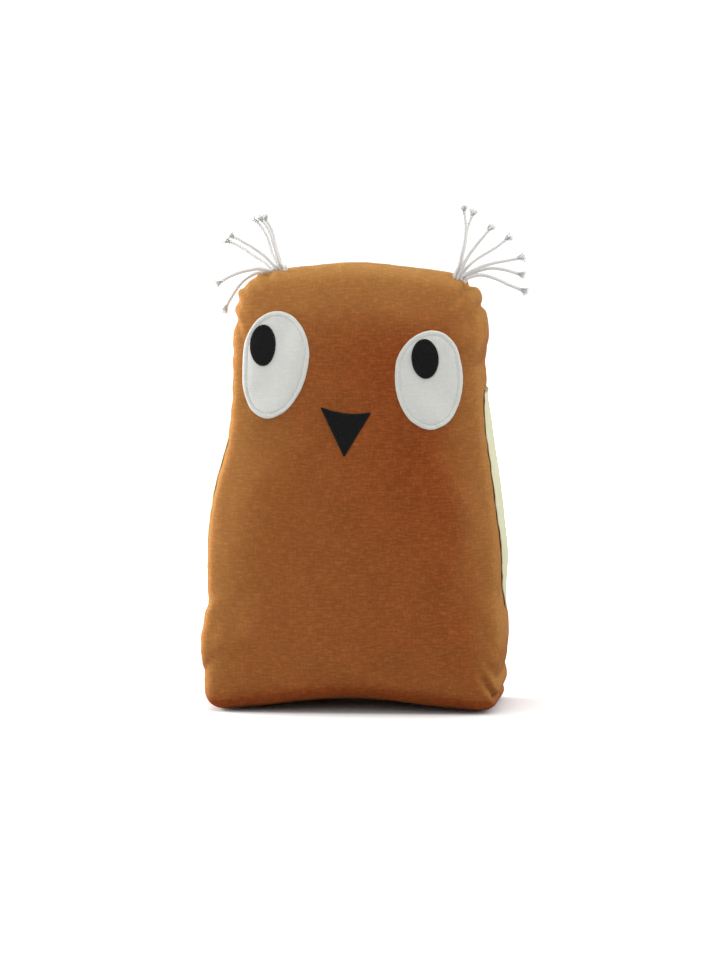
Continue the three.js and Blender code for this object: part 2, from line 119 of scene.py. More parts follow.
def smoothstep(x, low, high):
    t = np.clip((np.asarray(x, float) - low) / (high - low), 0.0, 1.0)
    return t * t * (3 - 2 * t)


def curve_points(points, t, closed=False):
    """Points of a centripetal Catmull-Rom curve through the given points, at t from 0 to 1."""
    points = np.asarray(points, float)
    count = len(points)
    t = np.asarray(t, float)
    if closed:
        place = (t % 1.0) * count
        padded = np.vstack([points[-1:], points, points[:2]])
    else:
        place = np.clip(t, 0, 1) * (count - 1)
        first = 2 * points[0] - points[1]
        last = 2 * points[-1] - points[-2]
        padded = np.vstack([first, points, last])
    span = np.clip(np.floor(place).astype(int), 0, (count if closed else count - 1) - 1)
    weight = (place - span)[..., None]
    p0, p1, p2, p3 = (padded[span + k] for k in range(4))
    d0, d1, d2 = (
        np.sqrt(np.linalg.norm(b - a, axis=-1, keepdims=True))
        for a, b in ((p0, p1), (p1, p2), (p2, p3))
    )
    t1 = ((p1 - p0) / d0 - (p2 - p0) / (d0 + d1) + (p2 - p1) / d1) * d1
    t2 = ((p2 - p1) / d1 - (p3 - p1) / (d1 + d2) + (p3 - p2) / d2) * d1
    cubic = 2 * p1 - 2 * p2 + t1 + t2
    square = 3 * p2 - 3 * p1 - 2 * t1 - t2
    return ((cubic * weight + square) * weight + t1) * weight + p1


def run_along(points):
    """The distance run along a line, at each of its points."""
    return np.concatenate([[0], np.cumsum(np.linalg.norm(np.diff(points, axis=0), axis=1))])


def places_along(at, run, points):
    """A line's points again, at the given distances along it."""
    return np.stack([np.interp(at, run, column) for column in points.T], axis=1)


def half_width_at(height):
    """Half the body's width, before the outline's own shares."""
    return lerp(BASE_WIDTH, HEAD_WIDTH, smoothstep(height, *NECK)) / 2


RIM_POINTS = np.stack(
    [
        OUTLINE_SHARES[:, 0] * half_width_at(OUTLINE_SHARES[:, 1] * BODY_HEIGHT),
        OUTLINE_SHARES[:, 1] * BODY_HEIGHT,
    ],
    axis=1,
)
MIDDLE_HEIGHT = BODY_HEIGHT / 2


def rim_at(u):
    """The seam's outline seen from the front: x and z, at u from 0 to 1 round the body."""
    return curve_points(RIM_POINTS, u, closed=True)


# Tables that find a place on the outline from its angle, its height or its distance along the seam,
# and the last of these again, carried on for a turn before the first point
RIM_U = np.linspace(0, 1, 3601)
RIM_XZ = rim_at(RIM_U)
RIM_ANGLE = np.unwrap(np.arctan2(RIM_XZ[:, 0], MIDDLE_HEIGHT - RIM_XZ[:, 1]))
RIM_RUN = run_along(RIM_XZ)
SEAM_LENGTH = RIM_RUN[-1]
LONG_U = np.concatenate([RIM_U - 1, RIM_U[1:]])
LONG_RUN = np.concatenate([RIM_RUN - SEAM_LENGTH, RIM_RUN[1:]])


def seam_run(u):
    """The distance along the seam to a place on it."""
    return np.interp(u % 1, RIM_U, RIM_RUN)


def rim_place(x, z):
    """u where the direction from the middle of the body to a point crosses the outline."""
    angle = np.arctan2(x, MIDDLE_HEIGHT - z)
    angle = np.where(angle < RIM_ANGLE[0], angle + 2 * np.pi, angle)
    return np.interp(angle, RIM_ANGLE, RIM_U)


def base_share_at(height):
    """How much of the skin at a height is base: 1 on the floor, 0 on the sides."""
    return 1 - smoothstep(height, *BASE_CORNER)


def seam_reach_at(height):
    """How far each of the two seams stands from the body's middle plane."""
    side = lerp(BAND_WIDTH, CROWN_BAND_WIDTH, smoothstep(height, NECK[1], BODY_HEIGHT))
    return lerp(BASE_PANEL_DEPTH, side, smoothstep(height, 0, SKIRT_HEIGHT)) / 2


def skin_points(u, m):
    """Points of the sewn skin. u runs round the outline, and m from -1 at the middle of the face by
    0 and 1 at the two seams to 2 at the middle of the back."""
    u, m = np.broadcast_arrays(np.asarray(u, float), np.asarray(m, float))
    rim = rim_at(u)
    rim_x, rim_z = rim[..., 0], rim[..., 1]
    base = base_share_at(rim_z)
    side = 1 - base
    reach = seam_reach_at(rim_z)
    arch = BASE_ARCH * base * (1 - smoothstep(np.abs(rim_x), 0, ARCH_HALF_WIDTH))
    radius = np.hypot(rim_x, rim_z - MIDDLE_HEIGHT)
    ring = np.where(m < 0, 1 + m, np.where(m > 1, 2 - m, 1.0))
    front = m < 0
    near_seam = np.exp(-(((1 - ring) / GROOVE_SHARE) ** 2))
    power = lerp(CROWN_POWER, TOP_CROWN_POWER, smoothstep(rim_z, NECK[1], BODY_HEIGHT))
    power = np.where(front, lerp(power, HEM_POWER, base), power)
    crown = np.sqrt(np.clip(1 - ring**power, 0, 1))
    cheek = np.exp(-(((ring - CHEEK_SHARE[0]) / CHEEK_SHARE[1]) ** 2))
    swell = np.where(front, CHEEK_BULGE * cheek * side, -BACK_INSET * side * ring)
    height = lerp(MIDDLE_HEIGHT, rim_z, ring)
    low = np.where(front, FRONT_REACH[0], BACK_REACH[0])
    high = np.where(front, FRONT_REACH[1], BACK_REACH[1])
    fall = CROWN_FALL * (rim_x * ring / half_width_at(height)) ** 2
    full = lerp(low, high, smoothstep(height, *NECK)) - fall
    panel_y = np.where(front, -1.0, 1.0) * lerp(reach, full, crown)
    across = np.clip(m, 0, 1)
    slack = np.abs(2 * across - 1) ** lerp(BAND_POWER, BASE_POWER, base)
    vault = np.maximum(1 - smoothstep(across, *VAULT_SHARE), slack)
    inset = lerp(BAND_INSET * (1 - slack), BACK_INSET * across, across)
    on_band = (m >= 0) & (m <= 1)
    on_panel = swell - SEAM_DRAW * near_seam - arch * np.exp(-(((1 - ring) / ARCH_SHARE) ** 2))
    outward = np.where(on_band, -SEAM_DRAW * slack - arch * vault - inset * side, on_panel)
    y = np.where(on_band, lerp(-reach, reach, across), panel_y)
    scale = ring + outward / radius
    return np.stack([rim_x * scale, y, lerp(MIDDLE_HEIGHT, rim_z, scale)], axis=-1)


def skin_normals(u, m):
    """The outward directions of the skin."""
    step = 0.002
    u, m = np.broadcast_arrays(np.asarray(u, float), np.asarray(m, float))
    round_it = skin_points(u + step, m) - skin_points(u - step, m)
    along = skin_points(u, np.minimum(2, m + step)) - skin_points(u, np.maximum(-1, m - step))
    normal = np.cross(along, round_it)
    return normal / np.linalg.norm(normal, axis=-1, keepdims=True)


def skin_at(u, m, lift):
    """Points of the skin moved along its normal, and kept above the floor."""
    points = skin_points(u, m) + skin_normals(u, m) * np.asarray(lift)[..., None]
    points[..., 2] = np.maximum(points[..., 2], 0)
    return points


# Meshes

CLOTH_UV = "cloth"


def new_mesh_object(name, points, faces, uvs=None, smooth=True):
    """A mesh object from points, faces and one UV for each corner of each face."""
    mesh = bpy.data.meshes.new(name)
    mesh.from_pydata([tuple(p) for p in np.asarray(points, float)], [], [tuple(f) for f in faces])
    if uvs is not None:
        layer = mesh.uv_layers.new(name=CLOTH_UV)
        layer.data.foreach_set("uv", np.asarray(uvs, np.float32).ravel())
    if smooth:
        mesh.polygons.foreach_set("use_smooth", np.ones(len(mesh.polygons), bool))
    mesh.update()
    made = bpy.data.objects.new(name, mesh)
    bpy.context.scene.collection.objects.link(made)
    return made


def read_all(items, key, width=1, kind=np.float32):
    """What all the items of a mesh hold under one name, a row of this width for each."""
    values = np.zeros(len(items) * width, kind)
    items.foreach_get(key, values)
    return values.reshape(-1, width) if width > 1 else values


def vertex_array(mesh):
    return read_all(mesh.vertices, "co", 3).astype(float)


def evaluated_mesh(made):
    """A copy of an object's mesh with its modifiers applied."""
    graph = bpy.context.evaluated_depsgraph_get()
    return bpy.data.meshes.new_from_object(made.evaluated_get(graph), depsgraph=graph)


def net_faces(rows, columns, closed):
    """Four-sided faces of a net of points, stored row by row. A closed net joins its last column to
    its first."""
    spans = columns if closed else columns - 1
    j, i = np.meshgrid(np.arange(rows - 1), np.arange(spans), indexing="ij")
    here = j * columns + i
    beside = j * columns + (i + 1) % columns
    return np.stack([here, beside, beside + columns, here + columns], axis=-1).reshape(-1, 4)


def dress(made, body, slot, material, *nodes):
    """Puts a finished piece on its body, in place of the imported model's own solids."""
    made.data.materials.clear()
    made.data.materials.append(material)
    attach(made, body)
    if nodes:
        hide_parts(*nodes)
    return made


def turn_faces(made, towards=None):
    """Makes every face look outwards, or an open sheet's faces look in one direction."""
    mesh = made.data
    if towards is None:
        work = bmesh.new()
        work.from_mesh(mesh)
        bmesh.ops.recalc_face_normals(work, faces=work.faces)
        work.to_mesh(mesh)
        work.free()
    elif (read_all(mesh.polygons, "normal", 3) @ np.asarray(towards, float)).sum() < 0:
        mesh.flip_normals()
    mesh.update()
    return made


# The nodes of a material, written as short calls

class Nodes:
    """Adds nodes to a material's tree and joins them up."""

    def __init__(self, name):
        self.material = bpy.data.materials.new(name)
        self.material.use_nodes = True
        self.tree = self.material.node_tree
        self.tree.nodes.clear()

    def add(self, kind, inputs=None, **settings):
        node = self.tree.nodes.new(kind)
        for key, value in settings.items():
            setattr(node, key, value)
        for key, value in (inputs or {}).items():
            socket = node.inputs[key]
            if isinstance(value, bpy.types.NodeSocket):
                self.tree.links.new(value, socket)
            else:
                socket.default_value = value
        return node

    def math(self, operation, *values):
        return self.add("ShaderNodeMath", dict(enumerate(values)), operation=operation).outputs[0]

    def vector_math(self, operation, *values):
        inputs = dict(enumerate(values))
        return self.add("ShaderNodeVectorMath", inputs, operation=operation).outputs[0]

    def mix(self, share, a, b):
        return self.add("ShaderNodeMix", {0: share, 6: a, 7: b}, data_type="RGBA").outputs[2]

    def ramp(self, value, low, high):
        inputs = {"Value": value, "From Min": low, "From Max": high}
        return self.add("ShaderNodeMapRange", inputs).outputs[0]

    def noise(self, vector, scale, detail=2.0, roughness=0.5):
        inputs = {"Vector": vector, "Scale": scale, "Detail": detail, "Roughness": roughness}
        return self.add("ShaderNodeTexNoise", inputs).outputs["Fac"]

    def bump(self, height, distance):
        inputs = {"Height": height, "Distance": distance}
        return self.add("ShaderNodeBump", inputs).outputs["Normal"]

    def finish(self, inputs):
        """Ends the tree in its one shader, and gives the finished material."""
        shader = self.add("ShaderNodeBsdfPrincipled", inputs)
        self.add("ShaderNodeOutputMaterial", {"Surface": shader.outputs[0]})
        return self.material


def rgba(colour):
    return (colour[0], colour[1], colour[2], 1.0)


# The mesh attribute with the body's directions before it is stuffed, and its share in the direction
# that sets the painted sheen
FORM_NORMAL = "form_normal"
FORM_SHARE = 0.75

# The painted sheen: how soon it shows as the cloth turns away from the view; how far up a direction
# points where it begins and where it is whole, so that cloth facing down is left without it as
# painted shade; and the painted top light on cloth that faces up, which gains this much more of it
PAINTED_SHEEN_ONSET = 0.024
PAINTED_SHEEN_RISE = (-0.34, 0.03)
PAINTED_TOP_LIGHT = (0.1, 0.9)
PAINTED_TOP_LIGHT_GAIN = 0.35

# The grain of a weave, in turns to the metre: wavering threads, thick places along and across a
# thread, fluff on them, and uneven dye
WAVER_GRAIN = 260.0
WAVERS = (2.2, -1.7)
THREAD_GRAIN = (170.0, 720.0)
FLUFF_GRAIN = 760.0
DYE_GRAIN = 42.0
WEFT_SHARE, WARP_SHARE = 0.9, 0.5
FLUFF_SHARE = 0.5
WEAVE_SHARE = 0.16
THREAD_LEVELS = (0.89, 1.27)
DYE_LEVELS = (0.3, 0.7)
DYE_TINT, THREAD_TINT = 0.22, 0.78

# The grain of felt and of cotton, in turns to the metre, and how deep their fibres lie
FELT_FIBRES, FELT_TUFTS = 2600.0, 420.0
FELT_RELIEF = 0.00012
COTTON_STREAKS, COTTON_CLUMPS = 3200.0, 520.0
COTTON_RELIEF = 0.00008


def painted_sheen_share(nodes, steady):
    """How much painted sheen to mix into a cloth's colour: none where it is seen straight on, none
    where it faces down, which paints shade under it, most at its edges, and more again on top as
    painted top light. On the body, small folds count for less than the form under them."""
    normal = nodes.add("ShaderNodeNewGeometry").outputs["Normal"]
    if steady:
        form = nodes.add("ShaderNodeAttribute", attribute_name=FORM_NORMAL).outputs["Vector"]
        normal = nodes.vector_math("NORMALIZE", nodes.mix(FORM_SHARE, normal, form))
    facing = nodes.add("ShaderNodeLayerWeight", {"Blend": 0.5, "Normal": normal}).outputs["Facing"]
    near = nodes.math("DIVIDE", facing, nodes.math("ADD", facing, PAINTED_SHEEN_ONSET))
    height = nodes.add("ShaderNodeSeparateXYZ", {0: normal}).outputs[2]
    near = nodes.math("MULTIPLY", near, nodes.ramp(height, *PAINTED_SHEEN_RISE))
    painted_top_light = nodes.math("MULTIPLY_ADD", nodes.ramp(height, *PAINTED_TOP_LIGHT), PAINTED_TOP_LIGHT_GAIN, 1.0)
    return nodes.math("MULTIPLY", near, painted_top_light)


def thread_noise(nodes, place, along, across):
    """Thick and thin places that run along one set of threads."""
    return nodes.noise(nodes.vector_math("MULTIPLY", place, (along, across, 1.0)), 1.0, 2.0, 0.6)


def woven_cloth(name, colour, light_colour, painted_sheen_colour, pitch, nap, mottle, relief, steady=False):
    """A plain weave seen close to: crossing threads, thick places in them, uneven dye, and a painted
    sheen, standing in for a fine nap, that lightens the colour where the cloth turns away from the
    view."""
    nodes = Nodes(name)
    place = nodes.add("ShaderNodeUVMap", uv_map=CLOTH_UV).outputs["UV"]
    waver = nodes.noise(place, WAVER_GRAIN, 1.0)
    spread = nodes.add("ShaderNodeSeparateXYZ", {0: place}).outputs
    turns = 2 * math.pi / pitch
    across, along = (
        nodes.math("MULTIPLY_ADD", waver, sway, nodes.math("MULTIPLY", spread[k], turns))
        for k, sway in enumerate(WAVERS)
    )
    weave = nodes.math("MULTIPLY", nodes.math("SINE", across), nodes.math("SINE", along))
    weft = thread_noise(nodes, place, *THREAD_GRAIN)
    warp = thread_noise(nodes, place, *THREAD_GRAIN[::-1])
    fluff = nodes.noise(place, FLUFF_GRAIN, 2.0, 0.7)
    dye = nodes.noise(place, DYE_GRAIN, 3.0, 0.55)
    threads = nodes.math("MULTIPLY", weft, WEFT_SHARE)
    threads = nodes.math("ADD", threads, nodes.math("MULTIPLY", warp, WARP_SHARE))
    threads = nodes.math("MULTIPLY_ADD", fluff, FLUFF_SHARE, threads)
    threads = nodes.math("MULTIPLY_ADD", weave, WEAVE_SHARE, threads)
    fine = nodes.ramp(threads, *THREAD_LEVELS)
    broad = nodes.ramp(dye, *DYE_LEVELS)
    share = nodes.math("MULTIPLY_ADD", broad, DYE_TINT, nodes.math("MULTIPLY", fine, THREAD_TINT))
    shade = nodes.mix(nodes.math("MULTIPLY", share, mottle), rgba(colour), rgba(light_colour))
    height = nodes.math("MULTIPLY_ADD", weave, 0.5, threads)
    # Painted sheen: a share of the lighter sheen colour mixed into the base colour by the view angle,
    # lighter on top and left out where the cloth faces down; the same colour also tints the shader's
    # own sheen
    painted_sheen_cover = nodes.math("MULTIPLY_ADD", fine, 0.3 * nap, 0.85 * nap)
    painted_sheen_cover = nodes.math("MULTIPLY", painted_sheen_share(nodes, steady), painted_sheen_cover)
    return nodes.finish({
        "Base Color": nodes.mix(painted_sheen_cover, shade, rgba(painted_sheen_colour)),
        "Roughness": nodes.math("MULTIPLY_ADD", fine, 0.1, 0.86),
        "Normal": nodes.bump(height, relief),
        "Specular IOR Level": 0.05,
        "Sheen Weight": 0.12,
        "Sheen Roughness": 0.45,
        "Sheen Tint": rgba(painted_sheen_colour),
    })


def felt_cloth(name, colour, light_colour):
    """Pressed felt: short fibres in every direction, and no weave."""
    nodes = Nodes(name)
    place = nodes.add("ShaderNodeTexCoord").outputs["Object"]
    fibres = nodes.noise(place, FELT_FIBRES, 3.0, 0.75)
    tufts = nodes.noise(place, FELT_TUFTS, 2.0, 0.6)
    share = nodes.math("MULTIPLY", nodes.ramp(fibres, 0.35, 0.75), nodes.ramp(tufts, 0.2, 0.8))
    return nodes.finish({
        "Base Color": nodes.mix(share, rgba(colour), rgba(light_colour)),
        "Roughness": 0.94,
        "Normal": nodes.bump(nodes.math("MULTIPLY_ADD", tufts, 0.6, fibres), FELT_RELIEF),
        "Specular IOR Level": 0.06,
        "Sheen Weight": 0.1,
        "Sheen Roughness": 0.5,
    })


def spun_cotton(name, colour, dark_colour, sheen, lets_light_in=0.0):
    """Soft spun yarn or loose fibre: fine streaks and a little shadow in its hollows."""
    nodes = Nodes(name)
    place = nodes.add("ShaderNodeTexCoord").outputs["Object"]
    streaks = nodes.noise(place, COTTON_STREAKS, 2.0, 0.7)
    clumps = nodes.noise(place, COTTON_CLUMPS, 2.0, 0.5)
    share = nodes.math("MULTIPLY_ADD", streaks, 0.6, nodes.math("MULTIPLY", clumps, 0.5))
    return nodes.finish({
        "Base Color": nodes.mix(nodes.ramp(share, 0.3, 0.8), rgba(dark_colour), rgba(colour)),
        "Roughness": 0.9,
        "Normal": nodes.bump(streaks, COTTON_RELIEF),
        "Specular IOR Level": 0.2,
        "Sheen Weight": sheen,
        "Sheen Roughness": 0.4,
        "Subsurface Weight": lets_light_in,
        "Subsurface Radius": (0.0014, 0.0014, 0.0013),
        "Subsurface Scale": 1.0,
    })


# The sewn body

PANEL_COLUMNS = 58
PANEL_ROWS = 86
BAND_ROWS = 18
EDGE_CROWDING = 0.5
BAND_CROWDING = 0.35
FILLING_GAP = 0.0013
SEAM_CREASE = 0.55

# The small folds: how lively they are low down and at the top, between which heights that changes,
# how much of it the base loses, how deep they may be, how far from a seam they stay whole, and how
# many rounds of smoothing tell a fold from the form under it
FOLD_LIFE = (0.55, 1.7)
FOLD_LIFE_HEIGHTS = (0.24, 0.285)
BASE_CALM = 0.7
FOLD_DEPTH = 0.0028
FOLD_REACH = 0.03
FOLD_ROUNDS = 60
SETTLING_FRAMES = 20

# The waves that stitching draws into a seam: how many lie over each other, how far apart their
# crests are, the least height of one, what evens out their sum, and the most that it may come to
GATHER_WAVES = 9
GATHER_SPACING = (0.009, 0.02)
GATHER_LEAST = 0.4
GATHER_EVENED = 2.6
GATHER_MOST = 1.4

# The pieces cut from the skin, in the order of their face numbers, and the solid that each replaces
SKIN_PIECES = (
    ("face_cloth", "face_panel"), ("back_cloth", "back_panel"),
    ("band_cloth", "side_band"), ("base_cloth", "base_panel"),
)


def crowded(count, crowding=EDGE_CROWDING):
    """Shares from 0 to 1, closer together towards both ends."""
    share = np.linspace(0, 1, count + 1)
    return share - crowding * np.sin(2 * np.pi * share) / (2 * np.pi)


def outline_stretch(u_from, u_to, count):
    """u at places along a stretch of the seam, spread by distance and crowded towards its ends."""
    start, end = np.interp([u_from, u_to], LONG_U, LONG_RUN)
    return np.interp(lerp(start, end, crowded(count)), LONG_RUN, LONG_U)


def skin_grid():
    """The whole skin as one closed net: a panel in front, a panel behind and the strip between."""
    columns, rows = PANEL_COLUMNS, PANEL_ROWS
    bottom = outline_stretch(-BASE_END, BASE_END, columns)
    left = outline_stretch(BASE_END, TOP_LEFT_CORNER, rows)
    top = outline_stretch(TOP_LEFT_CORNER, TOP_RIGHT_CORNER, columns)
    right = outline_stretch(TOP_RIGHT_CORNER, 1 - BASE_END, rows)
    s, t = crowded(columns)[:, None, None], crowded(rows)[None, :, None]
    low, high = rim_at(bottom)[:, None], rim_at(top[::-1])[:, None]
    west, east = rim_at(right[::-1])[None], rim_at(left)[None]
    places = (1 - t) * low + t * high + (1 - s) * west + s * east
    places -= (1 - s) * ((1 - t) * low[:1] + t * high[:1])
    places -= s * ((1 - t) * low[-1:] + t * high[-1:])
    u = rim_place(places[..., 0], places[..., 1])
    u[:, 0], u[:, -1], u[0, :], u[-1, :] = bottom, top[::-1], right[::-1], left
    rim = rim_at(u)
    ring = np.hypot(places[..., 0], places[..., 1] - MIDDLE_HEIGHT)
    ring /= np.hypot(rim[..., 0], rim[..., 1] - MIDDLE_HEIGHT)
    ring[:, 0] = ring[:, -1] = ring[0, :] = ring[-1, :] = 1
    ring = np.minimum(ring, 1)
    number = np.arange((columns + 1) * (rows + 1)).reshape(columns + 1, rows + 1)
    edge = np.concatenate([number[:-1, 0], number[-1, :-1], number[:0:-1, -1], number[0, :0:-1]])
    edge_u = np.concatenate([bottom[:-1], left[:-1], top[:-1], right[:-1]])
    return u, ring, number, edge, edge_u


def arc_places(u, ring, front):
    """Where a panel's points lie on the flat cloth: straight out from its middle by the distance
    along the skin."""
    steps = np.linspace(0, 1, 49)
    shares = ring[..., None] * steps
    m = shares - 1 if front else 2 - shares
    path = skin_points(u[..., None], m)
    length = np.linalg.norm(np.diff(path, axis=-2), axis=-1).sum(-1)
    rim = rim_at(u) - np.array([0, MIDDLE_HEIGHT])
    flat = rim / np.linalg.norm(rim, axis=-1, keepdims=True) * length[..., None]
    return flat * (1 if front else np.array([-1, 1])) + np.array([0, MIDDLE_HEIGHT])


def skin_net():
    """The whole skin: where each point lies on it, faces, flat places, piece numbers and seams."""
    u, ring, number, edge, edge_u = skin_grid()
    columns, rows = PANEL_COLUMNS, PANEL_ROWS
    panel_count = number.size
    flat_u, flat_ring = u.ravel(), ring.ravel()
    band_m = crowded(BAND_ROWS, BAND_CROWDING)
    inner_u = np.tile(edge_u, (BAND_ROWS - 1, 1))
    inner_m = np.repeat(band_m[1:-1, None], len(edge_u), axis=1)
    place_u = np.concatenate([flat_u, flat_u, inner_u.ravel()])
    place_m = np.concatenate([flat_ring - 1, 2 - flat_ring, inner_m.ravel()])
    front = net_faces(columns + 1, rows + 1, False)[:, [0, 3, 2, 1]]
    back = front[:, ::-1] + panel_count
    inner = 2 * panel_count + np.arange(inner_u.size).reshape(inner_u.shape)
    band_numbers = np.vstack([edge[None], inner, edge[None] + panel_count])
    band = net_faces(BAND_ROWS + 1, len(edge), True)[:, ::-1]
    ring_of_faces = np.tile(np.arange(len(edge)), BAND_ROWS)
    band_faces = band_numbers.ravel()[band]
    kind = np.concatenate([
        np.zeros(len(front), int),
        np.ones(len(back), int),
        np.where(ring_of_faces < columns, 3, 2),
    ])
    along = np.interp(np.append(edge_u, edge_u[0] + 1), LONG_U, LONG_RUN)
    reach = seam_reach_at(rim_at(np.append(edge_u, edge_u[0]))[:, 1])
    band_uv = np.stack([
        np.broadcast_to(along, (BAND_ROWS + 1, len(along))),
        (2 * band_m[:, None] - 1) * reach[None],
    ], axis=-1)
    column = band % len(edge)
    row = band // len(edge)
    wraps = (column == 0) & (ring_of_faces[:, None] == len(edge) - 1)
    band_flat = band_uv[row, np.where(wraps, len(edge), column)]
    front_flat = arc_places(u, ring, True).reshape(-1, 2)[front]
    back_flat = arc_places(u, ring, False).reshape(-1, 2)[back - panel_count]
    faces = np.vstack([front, back, band_faces])
    flat = np.concatenate([front_flat, back_flat, band_flat[..., ::-1]]).reshape(-1, 2)
    seams = np.stack([
        np.concatenate([edge, edge + panel_count]),
        np.concatenate([np.roll(edge, -1), np.roll(edge, -1) + panel_count]),
    ], axis=1)
    return place_u, place_m, faces, flat, kind, seams


def seam_distance(u, m):
    """How far a point of the skin lies from the nearer seam, and that seam's number."""
    rim = rim_at(u)
    radius = np.hypot(rim[:, 0], rim[:, 1] - MIDDLE_HEIGHT)
    reach = seam_reach_at(rim[:, 1])
    across = np.clip(m, 0, 1)
    on_band = 2 * reach * np.minimum(across, 1 - across)
    on_panel = radius * np.where(m < 0, -m, m - 1)
    far = np.where((m >= 0) & (m <= 1), on_band, on_panel)
    return far, (m > 0.5).astype(int)


def gathers(u, seam, seed):
    """The uneven waves that stitching draws into cloth along each of the two seams."""
    random = np.random.default_rng(seed)
    at = seam_run(u)
    wave = np.zeros_like(at)
    for number in (0, 1):
        here = np.zeros_like(at)
        for _ in range(GATHER_WAVES):
            cycles = round(SEAM_LENGTH / random.uniform(*GATHER_SPACING))
            height, turn = random.uniform(GATHER_LEAST, 1), random.uniform()
            here += height * np.cos(2 * np.pi * (cycles * at / SEAM_LENGTH + turn))
        wave = np.where(seam == number, here / GATHER_EVENED, wave)
    return np.clip(wave, -GATHER_MOST, GATHER_MOST)


# Places where the stuffed cloth is pinched or folded: the nearest place on the outline (x, z), half
# the width, the depth, and from which to which m it runs
PINCHES = (
    (0.0768, 0.2868, 0.0036, 0.0062, -0.05, 1.04),
    (0.0863, 0.2736, 0.0028, 0.0044, -0.07, 1.04),
    (0.0870, 0.2340, 0.0050, 0.0016, -0.05, 1.04),
    (-0.0806, 0.2638, 0.0034, 0.0034, -0.04, 0.7),
    (-0.0770, 0.2800, 0.0028, 0.0010, -0.04, 0.7),
    (-0.0995, 0.0743, 0.0050, 0.0018, -0.05, 0.6),
    (-0.1015, 0.0262, 0.0034, 0.0012, -0.05, 0.6),
    (0.0985, 0.0105, 0.0027, 0.0050, -0.06, 1.04),
    (0.1005, 0.0225, 0.0026, 0.0016, -0.05, 1.04),
    (0.1000, 0.0760, 0.0040, 0.0012, -0.04, 0.3),
)

# How much shallower a pinch is halfway across the band, how far it bows on its way, how much the
# bows of two pinches differ, and over how much of m it ends
PINCH_FADE = 0.35
PINCH_BOW = 0.0012
PINCH_TURN = 40
PINCH_END = 0.05


def pinch_depth(u, m):
    """How far each point of the skin is drawn in by the pinches."""
    at = seam_run(u)
    over = np.pi * np.clip(m, 0, 1)
    slack = 1 - PINCH_FADE * np.sin(over)
    depth = np.zeros_like(at)
    for x, z, width, deep, first, last in PINCHES:
        bow = PINCH_BOW * np.sin(over + PINCH_TURN * x)
        far = np.abs(at - seam_run(rim_place(x, z)) - bow)
        far = np.minimum(far, SEAM_LENGTH - far)
        outside = np.maximum(0, np.maximum(first - m, m - last))
        beside = np.exp(-((far / width) ** 2))
        depth += deep * beside * np.exp(-((outside / PINCH_END) ** 2)) * slack
    return depth


def neighbour_mean(values, pairs, rounds):
    """Values smoothed over a mesh by its edges."""
    values = values.copy()
    share = np.bincount(pairs.ravel(), minlength=len(values)).astype(float)
    for _ in range(rounds):
        total = np.zeros_like(values)
        np.add.at(total, pairs[:, 0], values[pairs[:, 1]])
        np.add.at(total, pairs[:, 1], values[pairs[:, 0]])
        values = 0.5 * values + 0.5 * total / share[(...,) + (None,) * (values.ndim - 1)]
    return values


def inflate(points, faces, seam_weight, settings):
    """Fills the skin like a cushion: a cloth simulation with pressure inside and tight seams."""
    cloth_object = new_mesh_object("skin_simulation", points, faces)
    group = cloth_object.vertex_groups.new(name="seams")
    levels = np.round(seam_weight, 1)
    for level in np.unique(levels[levels > 0]):
        group.add(np.flatnonzero(levels == level).tolist(), float(level), "REPLACE")
    modifier = cloth_object.modifiers.new("Cloth", "CLOTH")
    cloth = modifier.settings
    cloth.quality = 5
    cloth.mass = 0.2
    cloth.tension_stiffness = cloth.compression_stiffness = 25
    cloth.shear_stiffness = 8
    cloth.bending_stiffness = 0.4
    cloth.air_damping = 2
    cloth.use_pressure = True
    cloth.uniform_pressure_force = settings.pressure
    cloth.vertex_group_shrink = "seams"
    cloth.shrink_min = -0.01
    cloth.shrink_max = settings.gather
    cloth.effector_weights.gravity = 0
    modifier.point_cache.frame_start = 1
    modifier.point_cache.frame_end = SETTLING_FRAMES
    for number in range(1, SETTLING_FRAMES + 1):
        bpy.context.scene.frame_set(number)
    settled = evaluated_mesh(cloth_object)
    result = vertex_array(settled)
    bpy.data.objects.remove(cloth_object)
    bpy.data.meshes.remove(settled)
    bpy.context.scene.frame_set(1)
    return result


def stuffed_skin(settings):
    """The skin's points after stuffing, with the pattern's shape kept in the large and the
    simulation's folds in the small."""
    u, m, faces, flat, kind, seams = skin_net()
    target = skin_at(u, m, np.zeros(len(u)))
    normal = skin_normals(u, m)
    far, seam = seam_distance(u, m)
    near = np.exp(-far / settings.gather_reach)
    rim_z = rim_at(u)[:, 1]
    lively = lerp(*FOLD_LIFE, smoothstep(rim_z, *FOLD_LIFE_HEIGHTS))
    lively = lively * (1 - BASE_CALM * base_share_at(rim_z))
    ripple = gathers(u, seam, SEEDS["gathers"]) * near * lively * settings.ripple
    start = target - normal * (settings.swell - ripple)[:, None]
    start[:, 2] = np.maximum(start[:, 2], 0.0002)
    pairs = np.vstack([faces[:, [k, (k + 1) % 4]] for k in range(4)])
    pairs = np.unique(np.sort(pairs, axis=1), axis=0)
    seam_weight = np.clip(1 - far / settings.gather_reach, 0, 1)
    moved = inflate(start, faces, seam_weight, settings)
    step = moved - start
    size = np.linalg.norm(step, axis=1, keepdims=True)
    moved = start + step * np.minimum(1, settings.most_move / np.maximum(size, 1e-9))
    drift = ((moved - target) * normal).sum(1)
    folds = drift - neighbour_mean(drift, pairs, FOLD_ROUNDS)
    folds = np.clip(folds, -FOLD_DEPTH, FOLD_DEPTH) * lerp(0.5, 1, np.exp(-far / FOLD_REACH))
    points = target + normal * (folds - pinch_depth(u, m))[:, None]
    points[:, 2] = np.maximum(points[:, 2], 0)
    return points, faces, flat, kind, seams, normal


def keep_form(mesh, normals):
    """Stores a direction at each vertex for the cloth's material."""
    layer = mesh.attributes.new(FORM_NORMAL, "FLOAT_VECTOR", "POINT")
    layer.data.foreach_set("vector", np.asarray(normals, np.float32).ravel())


